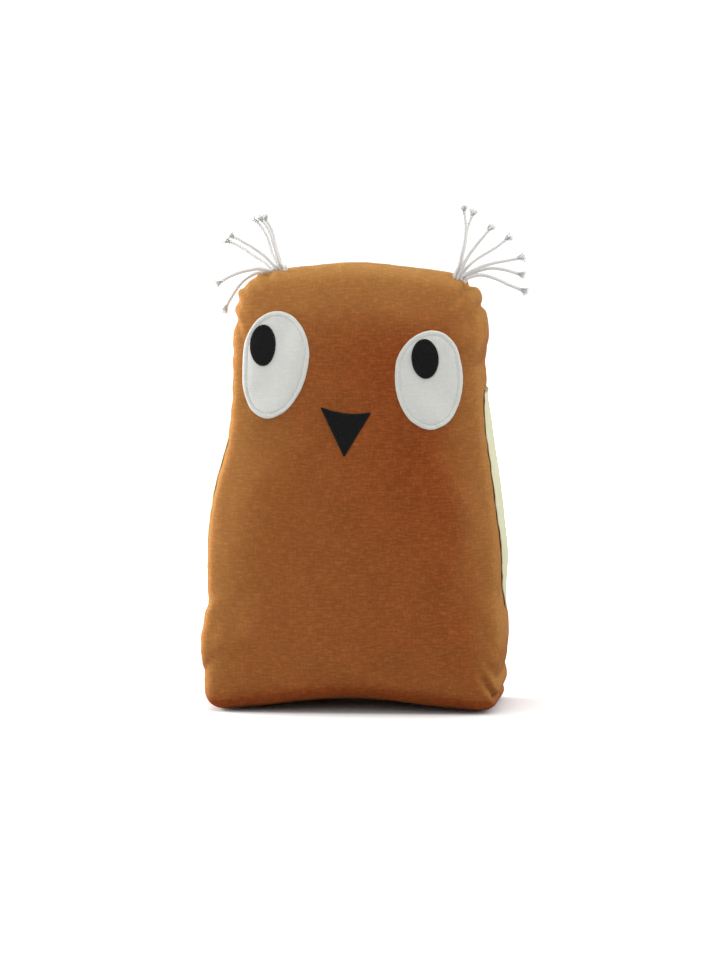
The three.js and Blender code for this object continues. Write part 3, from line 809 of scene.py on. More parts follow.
def build_skin(settings):
    """The whole skin as one smooth mesh, its seams creased, with the piece of each face as its
    material number, and the filling inside it."""
    points, faces, flat, kind, seams, form = stuffed_skin(settings)
    whole = new_mesh_object("skin", points, faces, flat)
    mesh = whole.data
    keep_form(mesh, form)
    for _ in SKIN_PIECES:
        mesh.materials.append(None)
    mesh.polygons.foreach_set("material_index", kind.astype(np.int32))
    size = len(mesh.vertices)
    ends = np.sort(read_all(mesh.edges, "vertices", 2, np.int32).astype(np.int64), axis=1)
    wanted = np.sort(seams.astype(np.int64), axis=1)
    on_seam = np.isin(ends[:, 0] * size + ends[:, 1], wanted[:, 0] * size + wanted[:, 1])
    crease = mesh.attributes.new("crease_edge", "FLOAT", "EDGE")
    crease.data.foreach_set("value", np.where(on_seam, SEAM_CREASE, 0.0).astype(np.float32))
    smoother = whole.modifiers.new("Smooth", "SUBSURF")
    smoother.levels = smoother.render_levels = 1
    smoother.uv_smooth = "PRESERVE_BOUNDARIES"
    fine = evaluated_mesh(whole)
    inside = points - read_all(mesh.vertex_normals, "vector", 3) * FILLING_GAP
    inside[:, 2] = np.maximum(inside[:, 2], FILLING_GAP)
    filling = new_mesh_object("fibre_filling", inside, faces)
    bpy.data.objects.remove(whole)
    return fine, filling


def cut_piece(fine, index, name):
    """One panel cut out of the whole skin along its seams."""
    chosen = read_all(fine.polygons, "material_index", kind=np.int32) == index
    corners = read_all(fine.loops, "vertex_index", kind=np.int32).reshape(-1, 4)[chosen]
    flat = read_all(fine.uv_layers[0].data, "uv", 2).reshape(-1, 4, 2)[chosen]
    used, numbers = np.unique(corners, return_inverse=True)
    points = vertex_array(fine)[used]
    piece = new_mesh_object(name, points, numbers.reshape(-1, 4), flat.reshape(-1, 2))
    keep_form(piece.data, read_all(fine.attributes[FORM_NORMAL].data, "vector", 3)[used])
    return piece


def give_thickness(made, thickness):
    """Gives a sheet of cloth its thickness on the inner side."""
    shell = made.modifiers.new("Thickness", "SOLIDIFY")
    shell.thickness = thickness
    shell.offset = -1
    shell.use_rim = True
    thick = evaluated_mesh(made)
    old = made.data
    made.modifiers.clear()
    made.data = thick
    bpy.data.meshes.remove(old)


# Threads, cords and loose fibres

def carried_frame(points, lean):
    """Two directions square to a line at each of its points, carried along it without a twist."""
    tangent = np.gradient(points, axis=0)
    tangent /= np.linalg.norm(tangent, axis=1, keepdims=True)
    side = np.cross(tangent[0], lean)
    sides = np.empty_like(points)
    for i in range(len(points)):
        side = side - tangent[i] * side.dot(tangent[i])
        side /= np.linalg.norm(side)
        sides[i] = side
    return sides, np.cross(tangent, sides)


def tube(points, radii, sides, turn=0.0):
    """Points and faces of a closed tube round a line, with a radius at each of its points."""
    count = len(points)
    radii = np.broadcast_to(radii, count)
    across, up = carried_frame(points, (0.3, 0.5, 0.81))
    angle = turn + 2 * np.pi * np.arange(sides) / sides
    cosine, sine = np.cos(angle)[None, :, None], np.sin(angle)[None, :, None]
    ring = cosine * across[:, None] + sine * up[:, None]
    skin = (points[:, None] + ring * radii[:, None, None]).reshape(-1, 3)
    faces = [tuple(f) for f in net_faces(count, sides, True)]
    faces.append(tuple(range(sides - 1, -1, -1)))
    faces.append(tuple(range((count - 1) * sides, count * sides)))
    return skin, faces


class Heap:
    """Gathers many small closed bodies into the points and faces of one mesh."""

    def __init__(self):
        self.points, self.faces, self.count = [], [], 0

    def add(self, points, faces):
        self.points.append(points)
        self.faces += [tuple(int(v) + self.count for v in face) for face in faces]
        self.count += len(points)

    def object(self, name):
        return new_mesh_object(name, np.vstack(self.points), self.faces)


# A stitch of the machine: its height over the cloth and its thickness along it, as shares of the
# thread's radius
STITCH_ARCH = np.array([-1.0, -0.25, 0.1, 0.2, 0.1, -0.25, -1.0])
STITCH_SWELL = np.array([0.5, 0.9, 1.0, 1.0, 1.0, 0.9, 0.5])


def stitch_row(name, line, normals, stitch, gap, diameter):
    """A row of machine stitches along a closed line: each a short thread that dips into the cloth
    at both ends."""
    closed = np.vstack([line, line[:1]])
    outward = np.vstack([normals, normals[:1]])
    run = run_along(closed)
    count = max(3, round(run[-1] / (stitch + gap)))
    radius = diameter / 2
    heap = Heap()
    for number in range(count):
        start = run[-1] * number / count
        at = start + np.linspace(0, run[-1] / count - gap, len(STITCH_ARCH))
        arch = places_along(at, run, outward) * (STITCH_ARCH * radius)[:, None]
        heap.add(*tube(places_along(at, run, closed) + arch, STITCH_SWELL * radius, 6))
    return heap.object(name)


# The face: eye whites, pupils and beak, sewn on the cloth

EYE_OUTLINES = {
    "left": [
        (0.1, 1), (-0.28, 0.94), (-0.64, 0.77), (-0.94, 0.44), (-1, -0.03), (-0.86, -0.46),
        (-0.52, -0.82), (0.06, -1), (0.6, -0.84), (0.88, -0.5), (1, -0.07), (0.95, 0.34),
        (0.79, 0.7), (0.46, 0.93),
    ],
    "right": [
        (0.08, 1), (-0.3, 0.95), (-0.66, 0.77), (-0.93, 0.44), (-1, -0.06), (-0.95, -0.53),
        (-0.69, -0.87), (-0.24, -1), (0.3, -0.85), (0.71, -0.51), (0.93, -0.13), (1, 0.26),
        (0.84, 0.64), (0.49, 0.91),
    ],
}
EYE_SIZES = {"left": (0.0445, 0.0657), "right": (0.045, 0.0712)}
EYE_PLACES = {"left": (0.614, 0.746), "right": (-0.593, 0.777)}
PUPIL_SIZES = {"left": (0.0178, 0.0264), "right": (0.0173, 0.0273)}
PUPIL_PLACES = {"left": (0.583, 0.793), "right": (-0.695, 0.820)}
PUPIL_LEANS = {"left": math.radians(-5), "right": math.radians(1)}
BEAK_SIZE = (0.0345, 0.032)
BEAK_PLACE = (-0.036, 0.681)
BEAK_SAG = 0.0026
BEAK_BLUNT = 0.03

# How a sewn-on patch rises from its edge: distance in from the edge and height over the cloth, in
# millimetres, for hemmed cloth and for cut felt
HEMMED = (
    (0.35, 0.02), (0.05, 0.2), (0.0, 0.5), (0.12, 0.82), (0.45, 1.06), (1.0, 1.18), (1.8, 1.16),
    (2.5, 1.0), (2.95, 0.78), (3.2, 0.66), (3.45, 0.76), (4.0, 0.95), (5.0, 1.06), (7.0, 1.1),
)
FELTED = (
    (0.2, 0.02), (0.0, 0.2), (0.0, 0.55), (0.1, 0.8), (0.35, 0.92), (0.7, 0.86), (0.95, 0.74),
    (1.2, 0.82), (1.7, 0.92), (2.6, 0.95),
)
PATCH_UNDERSIDE = 0.02 * MM
PATCH_WAVES = ((3, 5, 8, 13, 21, 34), 0.3, 3)
EYE_COLUMNS = 208
PUPIL_COLUMNS = 120
BEAK_COLUMNS = 150

# Where the stitches lie: in from a patch's edge, and over the cloth under it
HEM_SEAM = (3.2 * MM, 0.86 * MM)
PUPIL_SEAM = (0.95 * MM, 0.9 * MM)
BEAK_SEAM = (0.95 * MM, 0.88 * MM)
FELT_STITCH_SHARE = 0.8
FELT_THREAD_SHARE = 0.85
PUPIL_LIFT = 1.12 * MM


def even_outline(points, count):
    """A closed line's points again, at even distances."""
    closed = np.vstack([points, points[:1]])
    run = run_along(closed)
    return places_along(np.linspace(0, run[-1], count, endpoint=False), run, closed)


def round_wave(seed, count, cycles, least, evened):
    """An uneven wave round a closed outline: cycles of at least this height laid over each other,
    and the sum evened out."""
    random = np.random.default_rng(seed)
    turns = np.arange(count) / count
    return sum(
        random.uniform(least, 1) * np.cos(2 * np.pi * (k * turns + random.uniform()))
        for k in cycles
    ) / evened


def eye_outline(side, centre, count):
    width, height = EYE_SIZES[side]
    shape = np.array(EYE_OUTLINES[side]) * (width / 2, height / 2)
    dense = curve_points(shape, np.linspace(0, 1, 1400, endpoint=False), closed=True)
    return even_outline(dense, count) + centre


def pupil_outline(side, centre, count):
    width, height = PUPIL_SIZES[side]
    lean = PUPIL_LEANS[side]
    angle = np.linspace(0, 2 * np.pi, 720, endpoint=False)
    across, up = width / 2 * np.cos(angle), height / 2 * np.sin(angle)
    turned = np.stack([
        across * math.cos(lean) + up * math.sin(lean),
        up * math.cos(lean) - across * math.sin(lean),
    ], axis=1)
    return even_outline(turned, count) + centre


def beak_outline(centre, count):
    """A triangle with slightly blunt corners and a top edge that sags in the middle."""
    width, height = BEAK_SIZE
    drop = 0.05 * width
    corners = np.array([(-0.03 * width, -height), (-width / 2, drop), (width / 2, -drop)])
    t = np.linspace(BEAK_BLUNT, 1 - BEAK_BLUNT, 240)[:, None]
    sides = [start + (end - start) * t for start, end in zip(corners, np.roll(corners, -1, axis=0))]
    sides[1][:, 1] -= BEAK_SAG * 4 * (t * (1 - t))[:, 0]
    return even_outline(np.vstack(sides), count)[::-1] + centre


def face_place(shares):
    """A place on the face (x, z), from its shares of half the width and the height."""
    return np.array([shares[0] * HEAD_WIDTH / 2, shares[1] * BODY_HEIGHT])


def sewn_piece(name):
    """A piece of the body that an earlier step has made."""
    found = bpy.data.objects.get(name)
    if found is None:
        raise RuntimeError("the body isn't sewn yet: run the body step first")
    return found


def surface_tree(made):
    """A tree that finds where a straight line meets a piece."""
    polygons = [tuple(p.vertices) for p in made.data.polygons]
    return BVHTree.FromPolygons([Vector(p) for p in vertex_array(made.data)], polygons)


# How far outside the owl the lines start that look for its cloth
LOOK_FROM = 0.3


class FaceCloth:
    """Finds the sewn face under a place seen from the front."""

    def __init__(self):
        self.tree = surface_tree(sewn_piece("face_cloth"))

    def depth(self, x, z):
        found = self.tree.ray_cast(Vector((x, -LOOK_FROM, z)), Vector((0, 1, 0)))
        if found[0] is None:
            raise RuntimeError(f"the face has no cloth at {x:.4f}, {z:.4f}")
        return found[0].y

    def at(self, places, lift):
        """Points raised over the cloth at places (x, z), and the directions in which they rise."""
        step = 0.0015
        places = np.asarray(places, float)
        depth = np.array([self.depth(x, z) for x, z in places])
        over = [np.array([self.depth(x + dx, z + dz) for x, z in places])
                for dx, dz in ((step, 0), (-step, 0), (0, step), (0, -step))]
        depth = 0.5 * depth + 0.125 * sum(over)
        across, up = (over[0] - over[1]) / (2 * step), (over[2] - over[3]) / (2 * step)
        normal = np.stack([across, -np.ones(len(places)), up], axis=1)
        normal /= np.linalg.norm(normal, axis=1, keepdims=True)
        points = np.stack([places[:, 0], depth, places[:, 1]], axis=1)
        return points + normal * np.broadcast_to(lift, len(places))[:, None], normal


def sewn_patch(name, outline, centre, profile, cloth, base_lift, unevenness, seed):
    """A flat patch laid on the face: its underside, its turned or cut edge, and its upper side."""
    count = len(outline)
    wave = round_wave(seed, count, *PATCH_WAVES)
    to_centre = centre - outline
    inward = to_centre / np.linalg.norm(to_centre, axis=1, keepdims=True)
    rows, heights = [], []
    for distance, height in profile:
        rows.append(outline + inward * (distance * MM + wave[:, None] * unevenness * MM))
        heights.append(height * MM * (1 + 0.1 * wave * min(1, height)))
    last, last_height = rows[-1], profile[-1][1] * MM
    for share in (0.2, 0.45, 0.72):
        rows.append(last + (centre - last) * share)
        heights.append(np.full(count, last_height))
    rows = [outline + to_centre * share for share in (0.6, 0.15)] + rows
    heights = [np.full(count, PATCH_UNDERSIDE)] * 2 + heights
    points, _ = cloth.at(np.vstack(rows), np.concatenate(heights) + base_lift)
    middles, _ = cloth.at([centre, centre], np.array([PATCH_UNDERSIDE, last_height]) + base_lift)
    faces = [tuple(f) for f in net_faces(len(rows), count, True)]
    total, top = len(rows) * count, (len(rows) - 1) * count
    ring = list(zip(range(count), np.roll(range(count), -1)))
    faces += [(total, b, a) for a, b in ring]
    faces += [(total + 1, top + a, top + b) for a, b in ring]
    points = np.vstack([points, middles])
    flat = np.concatenate([points[list(f)][:, [0, 2]] for f in faces])
    return turn_faces(new_mesh_object(name, points, faces, flat))


def patch_stitches(name, outline, centre, seam, cloth, base_lift, stitch, gap, diameter):
    """The stitches that hold a patch, a little way in from its edge."""
    distance, height = seam
    inward = centre - outline
    inward /= np.linalg.norm(inward, axis=1, keepdims=True)
    line, normals = cloth.at(outline + inward * distance, height + base_lift)
    return stitch_row(name, line, normals, stitch, gap, diameter)


def sew_felt(name, outline, centre, face, cloth, base_lift, seam, unevenness, seed):
    """Sews a cut piece of felt on the face, in place of the solid of the same name."""
    felt = sewn_patch(f"{name}_felt", outline, centre, FELTED, cloth, base_lift, unevenness, seed)
    dress(felt, "body", "black_patch_cloth", black_patch_cloth(face), name)
    thread = patch_stitches(
        f"{name}_stitching", outline, centre, seam, cloth, base_lift,
        face.stitch * FELT_STITCH_SHARE, face.stitch_gap, face.thread * FELT_THREAD_SHARE,
    )
    dress(thread, "body", "black_patch_cloth", sewing_thread("black"))


# The wings

WING_TOP = 0.215
WING_LENGTH = 0.149
WING_WIDTH = 0.061
WING_FORWARD = 0.003
WING_SWEEP = 0.005
WING_LIFT = 0.0006
WING_RIM = 0.0006
WING_MIDDLE = WING_TOP - WING_LENGTH / 2
WING_TAPER = 0.2
WING_SQUARENESS = 0.85
WING_SHOULDERS = 0.72
WING_COLUMNS = 132
WING_WAVES = ((7, 12, 17, 23, 31), 0.4, 2.6)
EDGE_RIPPLE = 0.00035
FILLING_SLACK = 0.0003
FILLING_THICKNESS = 0.0003

# The rings of a wing's three layers, as shares of the way from its middle to its rim, and how far
# the last three rings of the outer one turn in below the rim
OUTER_RINGS = (0.03, 0.2, 0.4, 0.58, 0.72, 0.82, 0.89, 0.94, 0.972, 0.99, 1.0, 1.003, 1.003)
UNDER_RINGS = (0.03, 0.3, 0.6, 0.8, 0.92, 0.975)
FILLING_RINGS = (0.03, 0.3, 0.55, 0.72, 0.82, 0.86)
HEM_TURNS = (0.0001, 0.0004, 0.0006)


def wing_outline(count):
    """A wing seen from its side: places (y, z), square-shouldered above and swept back below."""
    angle = np.linspace(0, 2 * np.pi, 1440, endpoint=False)
    across, up = np.cos(angle), np.sin(angle)
    width = np.sign(across) * np.abs(across) ** WING_SQUARENESS * (1 + WING_TAPER * up)
    rise = np.where(up > 0, np.abs(up) ** WING_SHOULDERS, up)
    sweep = WING_SWEEP * ((1 - up) / 2) ** 2
    shape = np.stack([
        WING_WIDTH / 2 * width + sweep - WING_FORWARD, WING_MIDDLE + WING_LENGTH / 2 * rise,
    ], axis=1)
    return even_outline(shape, count)


# How far to each side a wing feels for the body's cloth, and the most that it moves to meet it
SPAN_REACH = 0.003
SPAN_MOST = 0.003


class SideCloth:
    """Finds how far the sewn band of one side stands out from its pattern."""

    def __init__(self, side):
        self.side = side
        self.tree = surface_tree(sewn_piece("band_cloth"))

    def excess(self, point):
        start = Vector((self.side * LOOK_FROM, point[1], point[2]))
        found = self.tree.ray_cast(start, Vector((-self.side, 0, 0)))
        return 0.0 if found[0] is None else self.side * (found[0].x - point[0])

    def over(self, places):
        """How far to move a sheet out at places (y, z): it spans the small hollows."""
        step = SPAN_REACH
        found = []
        for shift in ((0, 0), (step, 0), (-step, 0), (0, step), (0, -step)):
            points = band_at(self.side, places + shift, np.zeros(len(places)))
            found.append([self.excess(p) for p in points])
        found = np.clip(found, -SPAN_MOST, SPAN_MOST)
        return np.maximum(found.mean(axis=0), found[0])


def band_at(side, places, lift):
    """Points over the band of the left (+1) or right (-1) side, at places (y, z)."""
    half = len(RIM_U) // 2
    heights = RIM_XZ[:half, 1] if side > 0 else RIM_XZ[::-1, 1][:half]
    found = np.interp(places[:, 1], np.maximum.accumulate(heights), RIM_U[:half])
    u = found if side > 0 else 1 - found
    reach = seam_reach_at(places[:, 1])
    return skin_at(u, (places[:, 0] + reach) / (2 * reach), lift)


def wing_lift(wing, shares):
    """How high a wing's outer cloth stands over the band, at shares of the way to its rim."""
    return WING_LIFT + WING_RIM + wing.puff * (1 - np.array(shares)**5)


def wing_sheet(name, cloth, shares, lifts, ripple, seed):
    """One layer of a wing: rings from its middle to its rim, each lifted off the band."""
    outline = wing_outline(WING_COLUMNS)
    centre = np.array([0, WING_MIDDLE])
    wave = round_wave(seed, WING_COLUMNS, *WING_WAVES)
    rows = []
    for share, lift in zip(shares, lifts):
        places = centre + (outline - centre) * share
        lift = lift + wave * ripple * share**8 + cloth.over(places)
        rows.append(band_at(cloth.side, places, lift))
    points = np.vstack([*rows, rows[0].mean(axis=0)[None]])
    faces = [tuple(f) for f in net_faces(len(rows), WING_COLUMNS, True)]
    ring = range(WING_COLUMNS)
    faces += [(len(points) - 1, b, a) for a, b in zip(ring, np.roll(ring, -1))]
    if cloth.side < 0:
        faces = [f[::-1] for f in faces]
    flat = np.concatenate([points[list(f)][:, [1, 2]] for f in faces])
    return new_mesh_object(name, points, faces, flat)


# The stitches that hang a wing: their places along its top edge, and the path of each over it, as
# height over that edge and distance off the band
TACK_PLACES = np.linspace(-0.013, 0.013, 9)
TACK_PATH = (
    (0.0008, 0.0), (0.0006, 0.0005), (0.0002, 0.0011), (-0.0005, 0.0015), (-0.0012, 0.0015),
    (-0.0016, 0.0011),
)
TACK_THREAD = 0.0004


def hinge_tacks(name, cloth):
    """Short stitches over a wing's top edge, which stay on the band while the wing lifts."""
    heap = Heap()
    for across in TACK_PLACES:
        places = np.array([(across, WING_TOP + up) for up, _ in TACK_PATH])
        lifts = np.array([lift for _, lift in TACK_PATH]) + cloth.over(places)
        heap.add(*tube(band_at(cloth.side, places, lifts), TACK_THREAD / 2, 6))
    return heap.object(name)


# The ear cords: where each tuft is sewn in, and the route of each cord from there, in millimetres

CORD_DIAMETER = 0.002
CORD_PITCH = 0.0012
CORD_ROW_GAP = 0.0025
TUFT_PLACES = {"left": 0.0711, "right": -0.0505}
LEFT_CORDS_MM = (
    ((-0.7, -1.8, 7.8), (1.5, -2.4, 17.1), (3.5, -3, 26.4), (4.1, -3.6, 35.8), (3, -4.4, 45.2)),
    ((0, 1.8, 7.6), (1.9, 2.6, 16.2), (3.6, 3.4, 24.9), (4.7, 4.2, 33.6), (7.7, 5, 41.9)),
    ((1.3, -1.8, 6), (4.8, -2.8, 13.4), (9.4, -4, 20.3), (14.5, -5.4, 26.7), (19.8, -6.6, 33.1)),
    ((1.8, 1.8, 3.8), (8, 3, 10.6), (15.5, 4.4, 15.8), (23.3, 6, 20.5), (30.5, 7, 26.1)),
    ((3.2, -1.8, 2.4), (11.7, -2.8, 7.1), (20.8, -4.2, 10.3), (30.2, -6, 12.4), (39.7, -8, 14.4)),
    ((3.9, 1.8, 1), (12.1, 2.6, 5.1), (21.1, 3.6, 6.9), (30.2, 4.8, 5.7), (39, 6, 3.1)),
    ((4, -1.8, 0.2), (13.2, -2.4, 2.7), (23, -3, 0.8), (32.3, -3.8, -3.2), (41.6, -5, -6.9)),
)
RIGHT_CORDS_MM = (
    ((0.9, 1.8, 4.2), (-1.9, 2.8, 11.6), (-4.2, 3.6, 19), (-6, 4.4, 26.7), (-9.8, 4.8, 33.5)),
    ((0, -1.8, 5), (-2.5, -3, 12.3), (-4.7, -4, 19.8), (-7.2, -5, 27.2), (-11.3, -5.4, 33.7)),
    ((-1.6, 1.8, 4.7), (-5.7, 2.8, 11.5), (-8, 3.8, 19), (-11.3, 4.8, 26.1), (-16.1, 5.6, 32.4)),
    ((-3.6, -1.8, 3.4), (-9.5, -3, 9.3), (-16.1, -4.6, 14.5), (-23.1, -6.4, 19), (-30.4, -7.6, 23)),
    ((-5, 1.8, 1), (-11.9, 2.8, 6.1), (-19.3, 4, 10.4), (-26.5, 5.2, 15.2), (-34.2, 6, 18.8)),
    (
        (-5.7, -1.8, 0.4), (-14.5, -2.6, 1.4), (-23.4, -3.4, -0.1), (-31.9, -4.6, -2.9),
        (-39.6, -7, -7.2),
    ),
    ((-6.8, 2.6, -0.4), (-16.8, 3.6, -2), (-25.6, 4, -7.4), (-32, 4, -15.8), (-37, 3, -24.5)),
)
CORD_ROUTES_MM = {"left": LEFT_CORDS_MM, "right": RIGHT_CORDS_MM}


# How a cord leaves the cloth: heights over it, from the end inside it up
CORD_STEM = (-0.0015, 0.00035, 0.00235)

# The three strands of a cord: their radius and how far out they lie, as shares of its diameter, how
# much wider they open at the end and over what length, and the distance between two points
STRAND_RADIUS = 0.365
STRAND_OFFSET = 0.3
STRAND_OPENING = 0.35
OPENING_LENGTH = 0.003
CORD_STEP = 0.00045

# How much a strand's thickness varies, over what length, and what is left of it at the far end
STRAND_SWELL = 0.05
SWELL_LENGTH = 0.0021
STRAND_THINNING = 0.9

# The loose fibres: how far inside the cord's end they start and how wide they stand there, how far
# they wander sideways, how far they wave, how thick a fibre is along its length, and the least and
# the most of the full length and spread that one has
FRAY_START = 0.0016
FRAY_CORE = 0.00072
FRAY_WANDER = 0.00035
FRAY_WAVE = 0.00016
FIBRE_TAPER = np.array([1, 1, 1, 0.95, 0.9, 0.8, 0.55])
FIBRE_LENGTHS = (0.72, 1.0)
FIBRE_SPREADS = (0.75, 1.1)
QUARTER_TURN = 1.57


def tuft_point(x, row, lift):
    """A place on the band behind the front seam, counted in rows of cords, at a distance across."""
    low, high = 0.25, 0.75
    for _ in range(40):
        half = (low + high) / 2
        if -rim_at(half)[0] < -x:
            low = half
        else:
            high = half
    m = row * CORD_ROW_GAP / CROWN_BAND_WIDTH
    return skin_at(np.array([half]), np.array([m]), np.array([lift]))[0]


def cord_line(side, index):
    """A cord's centreline, from just inside the seam to its end, and where it leaves the cloth."""
    routes = CORD_ROUTES_MM[side]
    place, sign = TUFT_PLACES[side], 1 if side == "left" else -1
    along = (index - (len(routes) - 1) / 2) * CORD_PITCH * sign
    row = 1 + (-1 if index % 2 == 0 else 1) * sign * 0.5
    stem = [tuft_point(place + along, row, lift) for lift in CORD_STEM]
    sewn_in = tuft_point(place, 1, 0.0)
    route = np.array(routes[index]) * MM + sewn_in
    line = curve_points(np.vstack([*stem, route]), np.linspace(0, 1, 400))
    return line, tuft_point(place + along, row, 0.0)


def twisted_cord(name, line, settings, seed):
    """Three strands wound round each other along a line, opening a little at the far end."""
    random = np.random.default_rng(seed)
    whole = run_along(line)
    length = whole[-1]
    run = np.linspace(0, length, max(2, round(length / CORD_STEP) + 1))
    points = places_along(run, whole, line)
    sides, up = carried_frame(points, (0.2, 1.0, 0.1))
    start = random.uniform(0, 2 * np.pi)
    opening = 1 + STRAND_OPENING * smoothstep(run, length - OPENING_LENGTH, length)
    offset = (settings.diameter * STRAND_OFFSET * opening)[:, None]
    heap = Heap()
    for number in range(3):
        angle = start + 2 * np.pi * (number / 3 + run / settings.twist)
        centre = points + (np.cos(angle)[:, None] * sides + np.sin(angle)[:, None] * up) * offset
        uneven = 1 + STRAND_SWELL * np.sin(run / SWELL_LENGTH + 2 * number + start)
        thinned = lerp(1, STRAND_THINNING, run / length)
        radii = settings.diameter * STRAND_RADIUS * uneven * thinned
        heap.add(*tube(centre, radii, 8))
    return heap.object(name), points, length


def frayed_end(name, line, settings, seed):
    """The cord's open end: many fine fibres that spread into a brush."""
    random = np.random.default_rng(seed)
    end = line[-1]
    direction = line[-1] - line[-12]
    direction /= np.linalg.norm(direction)
    side = np.cross(direction, (0.1, 1.0, 0.2))
    side /= np.linalg.norm(side)
    up = np.cross(direction, side)
    t = np.linspace(0, 1, len(FIBRE_TAPER))[:, None]
    radii = settings.fibre_width / 2 * FIBRE_TAPER
    heap = Heap()
    for _ in range(settings.fibres):
        turn = random.uniform(0, 2 * np.pi)
        out = math.sqrt(random.uniform(0, 1))
        radial = math.cos(turn) * side + math.sin(turn) * up
        swirl = math.cos(turn + QUARTER_TURN) * side + math.sin(turn + QUARTER_TURN) * up
        start = end - direction * FRAY_START + radial * out * FRAY_CORE
        length = settings.fray_length * random.uniform(*FIBRE_LENGTHS)
        spread = settings.fray_width / 2 * out * random.uniform(*FIBRE_SPREADS)
        bend = spread * (0.35 * t + 0.65 * t * t)
        fibre = start + direction * length * t * (1 - 0.1 * out * t) + radial * bend
        fibre += swirl * (random.normal(0, FRAY_WANDER) * t * t)
        fibre += radial * (FRAY_WAVE * np.sin(t * random.uniform(4, 9) + turn))
        heap.add(*tube(fibre, radii, 4, turn))
    return heap.object(name)


# Settings that a user would change

class OwlBodySettings(bpy.types.PropertyGroup):
    """Stuffing and cloth of the body."""

    pressure: FloatProperty(
        name="Stuffing pressure", default=4.0, min=0, max=20,
        description="How hard the filling presses on the cloth while it settles",
    )
    gather: FloatProperty(
        name="Seam gather", default=0.06, min=0, max=0.3, subtype="FACTOR",
        description="How much the stitching shortens the cloth along a seam",
    )
    gather_reach: FloatProperty(
        name="Gather reach", default=0.009, min=0.001, unit="LENGTH",
        description="How far from a seam its small folds run",
    )
    ripple: FloatProperty(
        name="Ripple", default=0.0009, min=0, unit="LENGTH",
        description="Depth of the small folds that the stitching starts",
    )
    swell: FloatProperty(
        name="Swell", default=0.0025, min=0, unit="LENGTH",
        description="How far the cloth moves out while it is stuffed",
    )
    most_move: FloatProperty(
        name="Most movement", default=0.006, min=0, unit="LENGTH",
        description="No point of the cloth moves further than this while it is stuffed",
    )
    cloth_thickness: FloatProperty(
        name="Cloth thickness", default=0.0008, min=0.0001, unit="LENGTH",
        description="Thickness of the body cloth",
    )
    weave_pitch: FloatProperty(
        name="Weave pitch", default=0.0011, min=0.0002, unit="LENGTH",
        description="Distance over which two threads of the weave repeat",
    )
    colour: FloatVectorProperty(
        name="Cloth colour", default=(0.192, 0.0415, 0.0092), size=3, min=0, max=1, subtype="COLOR",
        description="Colour of the body cloth",
    )
    light_colour: FloatVectorProperty(
        name="Light threads", default=(0.395, 0.098, 0.0245), size=3, min=0, max=1, subtype="COLOR",
        description="Colour of the lighter threads in the body cloth",
    )
    # Painted sheen: a lighter colour mixed into the cloth's own colour where it turns away from the
    # view, which also tints the shader's own sheen
    painted_sheen_colour: FloatVectorProperty(
        name="Nap colour", default=(0.59, 0.362, 0.108), size=3, min=0, max=1, subtype="COLOR",
        description="Colour of the fine nap, which shows where the cloth turns away",
    )
    # How much painted sheen the cloth gets at a glancing angle
    nap: FloatProperty(
        name="Nap", default=0.37, min=0, max=1, subtype="FACTOR",
        description="How much of the cloth the nap covers at a glancing angle",
    )


class OwlFaceSettings(bpy.types.PropertyGroup):
    """The patches of the face and the thread that holds them."""

    stitch: FloatProperty(
        name="Stitch", default=0.0022, min=0.0005, unit="LENGTH", description="Length of a stitch",
    )
    stitch_gap: FloatProperty(
        name="Stitch gap", default=0.0007, min=0, unit="LENGTH",
        description="Distance between two stitches",
    )
    thread: FloatProperty(
        name="Thread", default=0.00042, min=0.0001, unit="LENGTH",
        description="Diameter of the sewing thread",
    )
    white: FloatVectorProperty(
        name="White cloth", default=(0.61, 0.62, 0.583), size=3, min=0, max=1, subtype="COLOR",
        description="Colour of the eye whites",
    )
    bright_white: FloatVectorProperty(
        name="Bright threads", default=(0.75, 0.755, 0.717), size=3, min=0, max=1, subtype="COLOR",
        description="Colour of the brighter threads in the eye whites",
    )
    felt: FloatVectorProperty(
        name="Felt", default=(0.0062, 0.0062, 0.0066), size=3, min=0, max=1, subtype="COLOR",
        description="Colour of the pupils and the beak",
    )
    felt_fibre: FloatVectorProperty(
        name="Felt fibres", default=(0.0175, 0.0175, 0.018), size=3, min=0, max=1, subtype="COLOR",
        description="Colour of the lighter fibres in the felt",
    )


class OwlWingSettings(bpy.types.PropertyGroup):
    """The two padded flaps."""

    puff: FloatProperty(
        name="Puff", default=0.0013, min=0, unit="LENGTH",
        description="How far the middle of a wing stands above its rim",
    )
    cloth_thickness: FloatProperty(
        name="Cloth thickness", default=0.0005, min=0.0001, unit="LENGTH",
        description="Thickness of the wing cloth",
    )
    colour: FloatVectorProperty(
        name="Wing cloth", default=(0.61, 0.60, 0.40), size=3, min=0, max=1, subtype="COLOR",
        description="Colour of the wings",
    )
    light_colour: FloatVectorProperty(
        name="Light threads", default=(0.75, 0.74, 0.56), size=3, min=0, max=1, subtype="COLOR",
        description="Colour of the lighter threads in the wing cloth",
    )


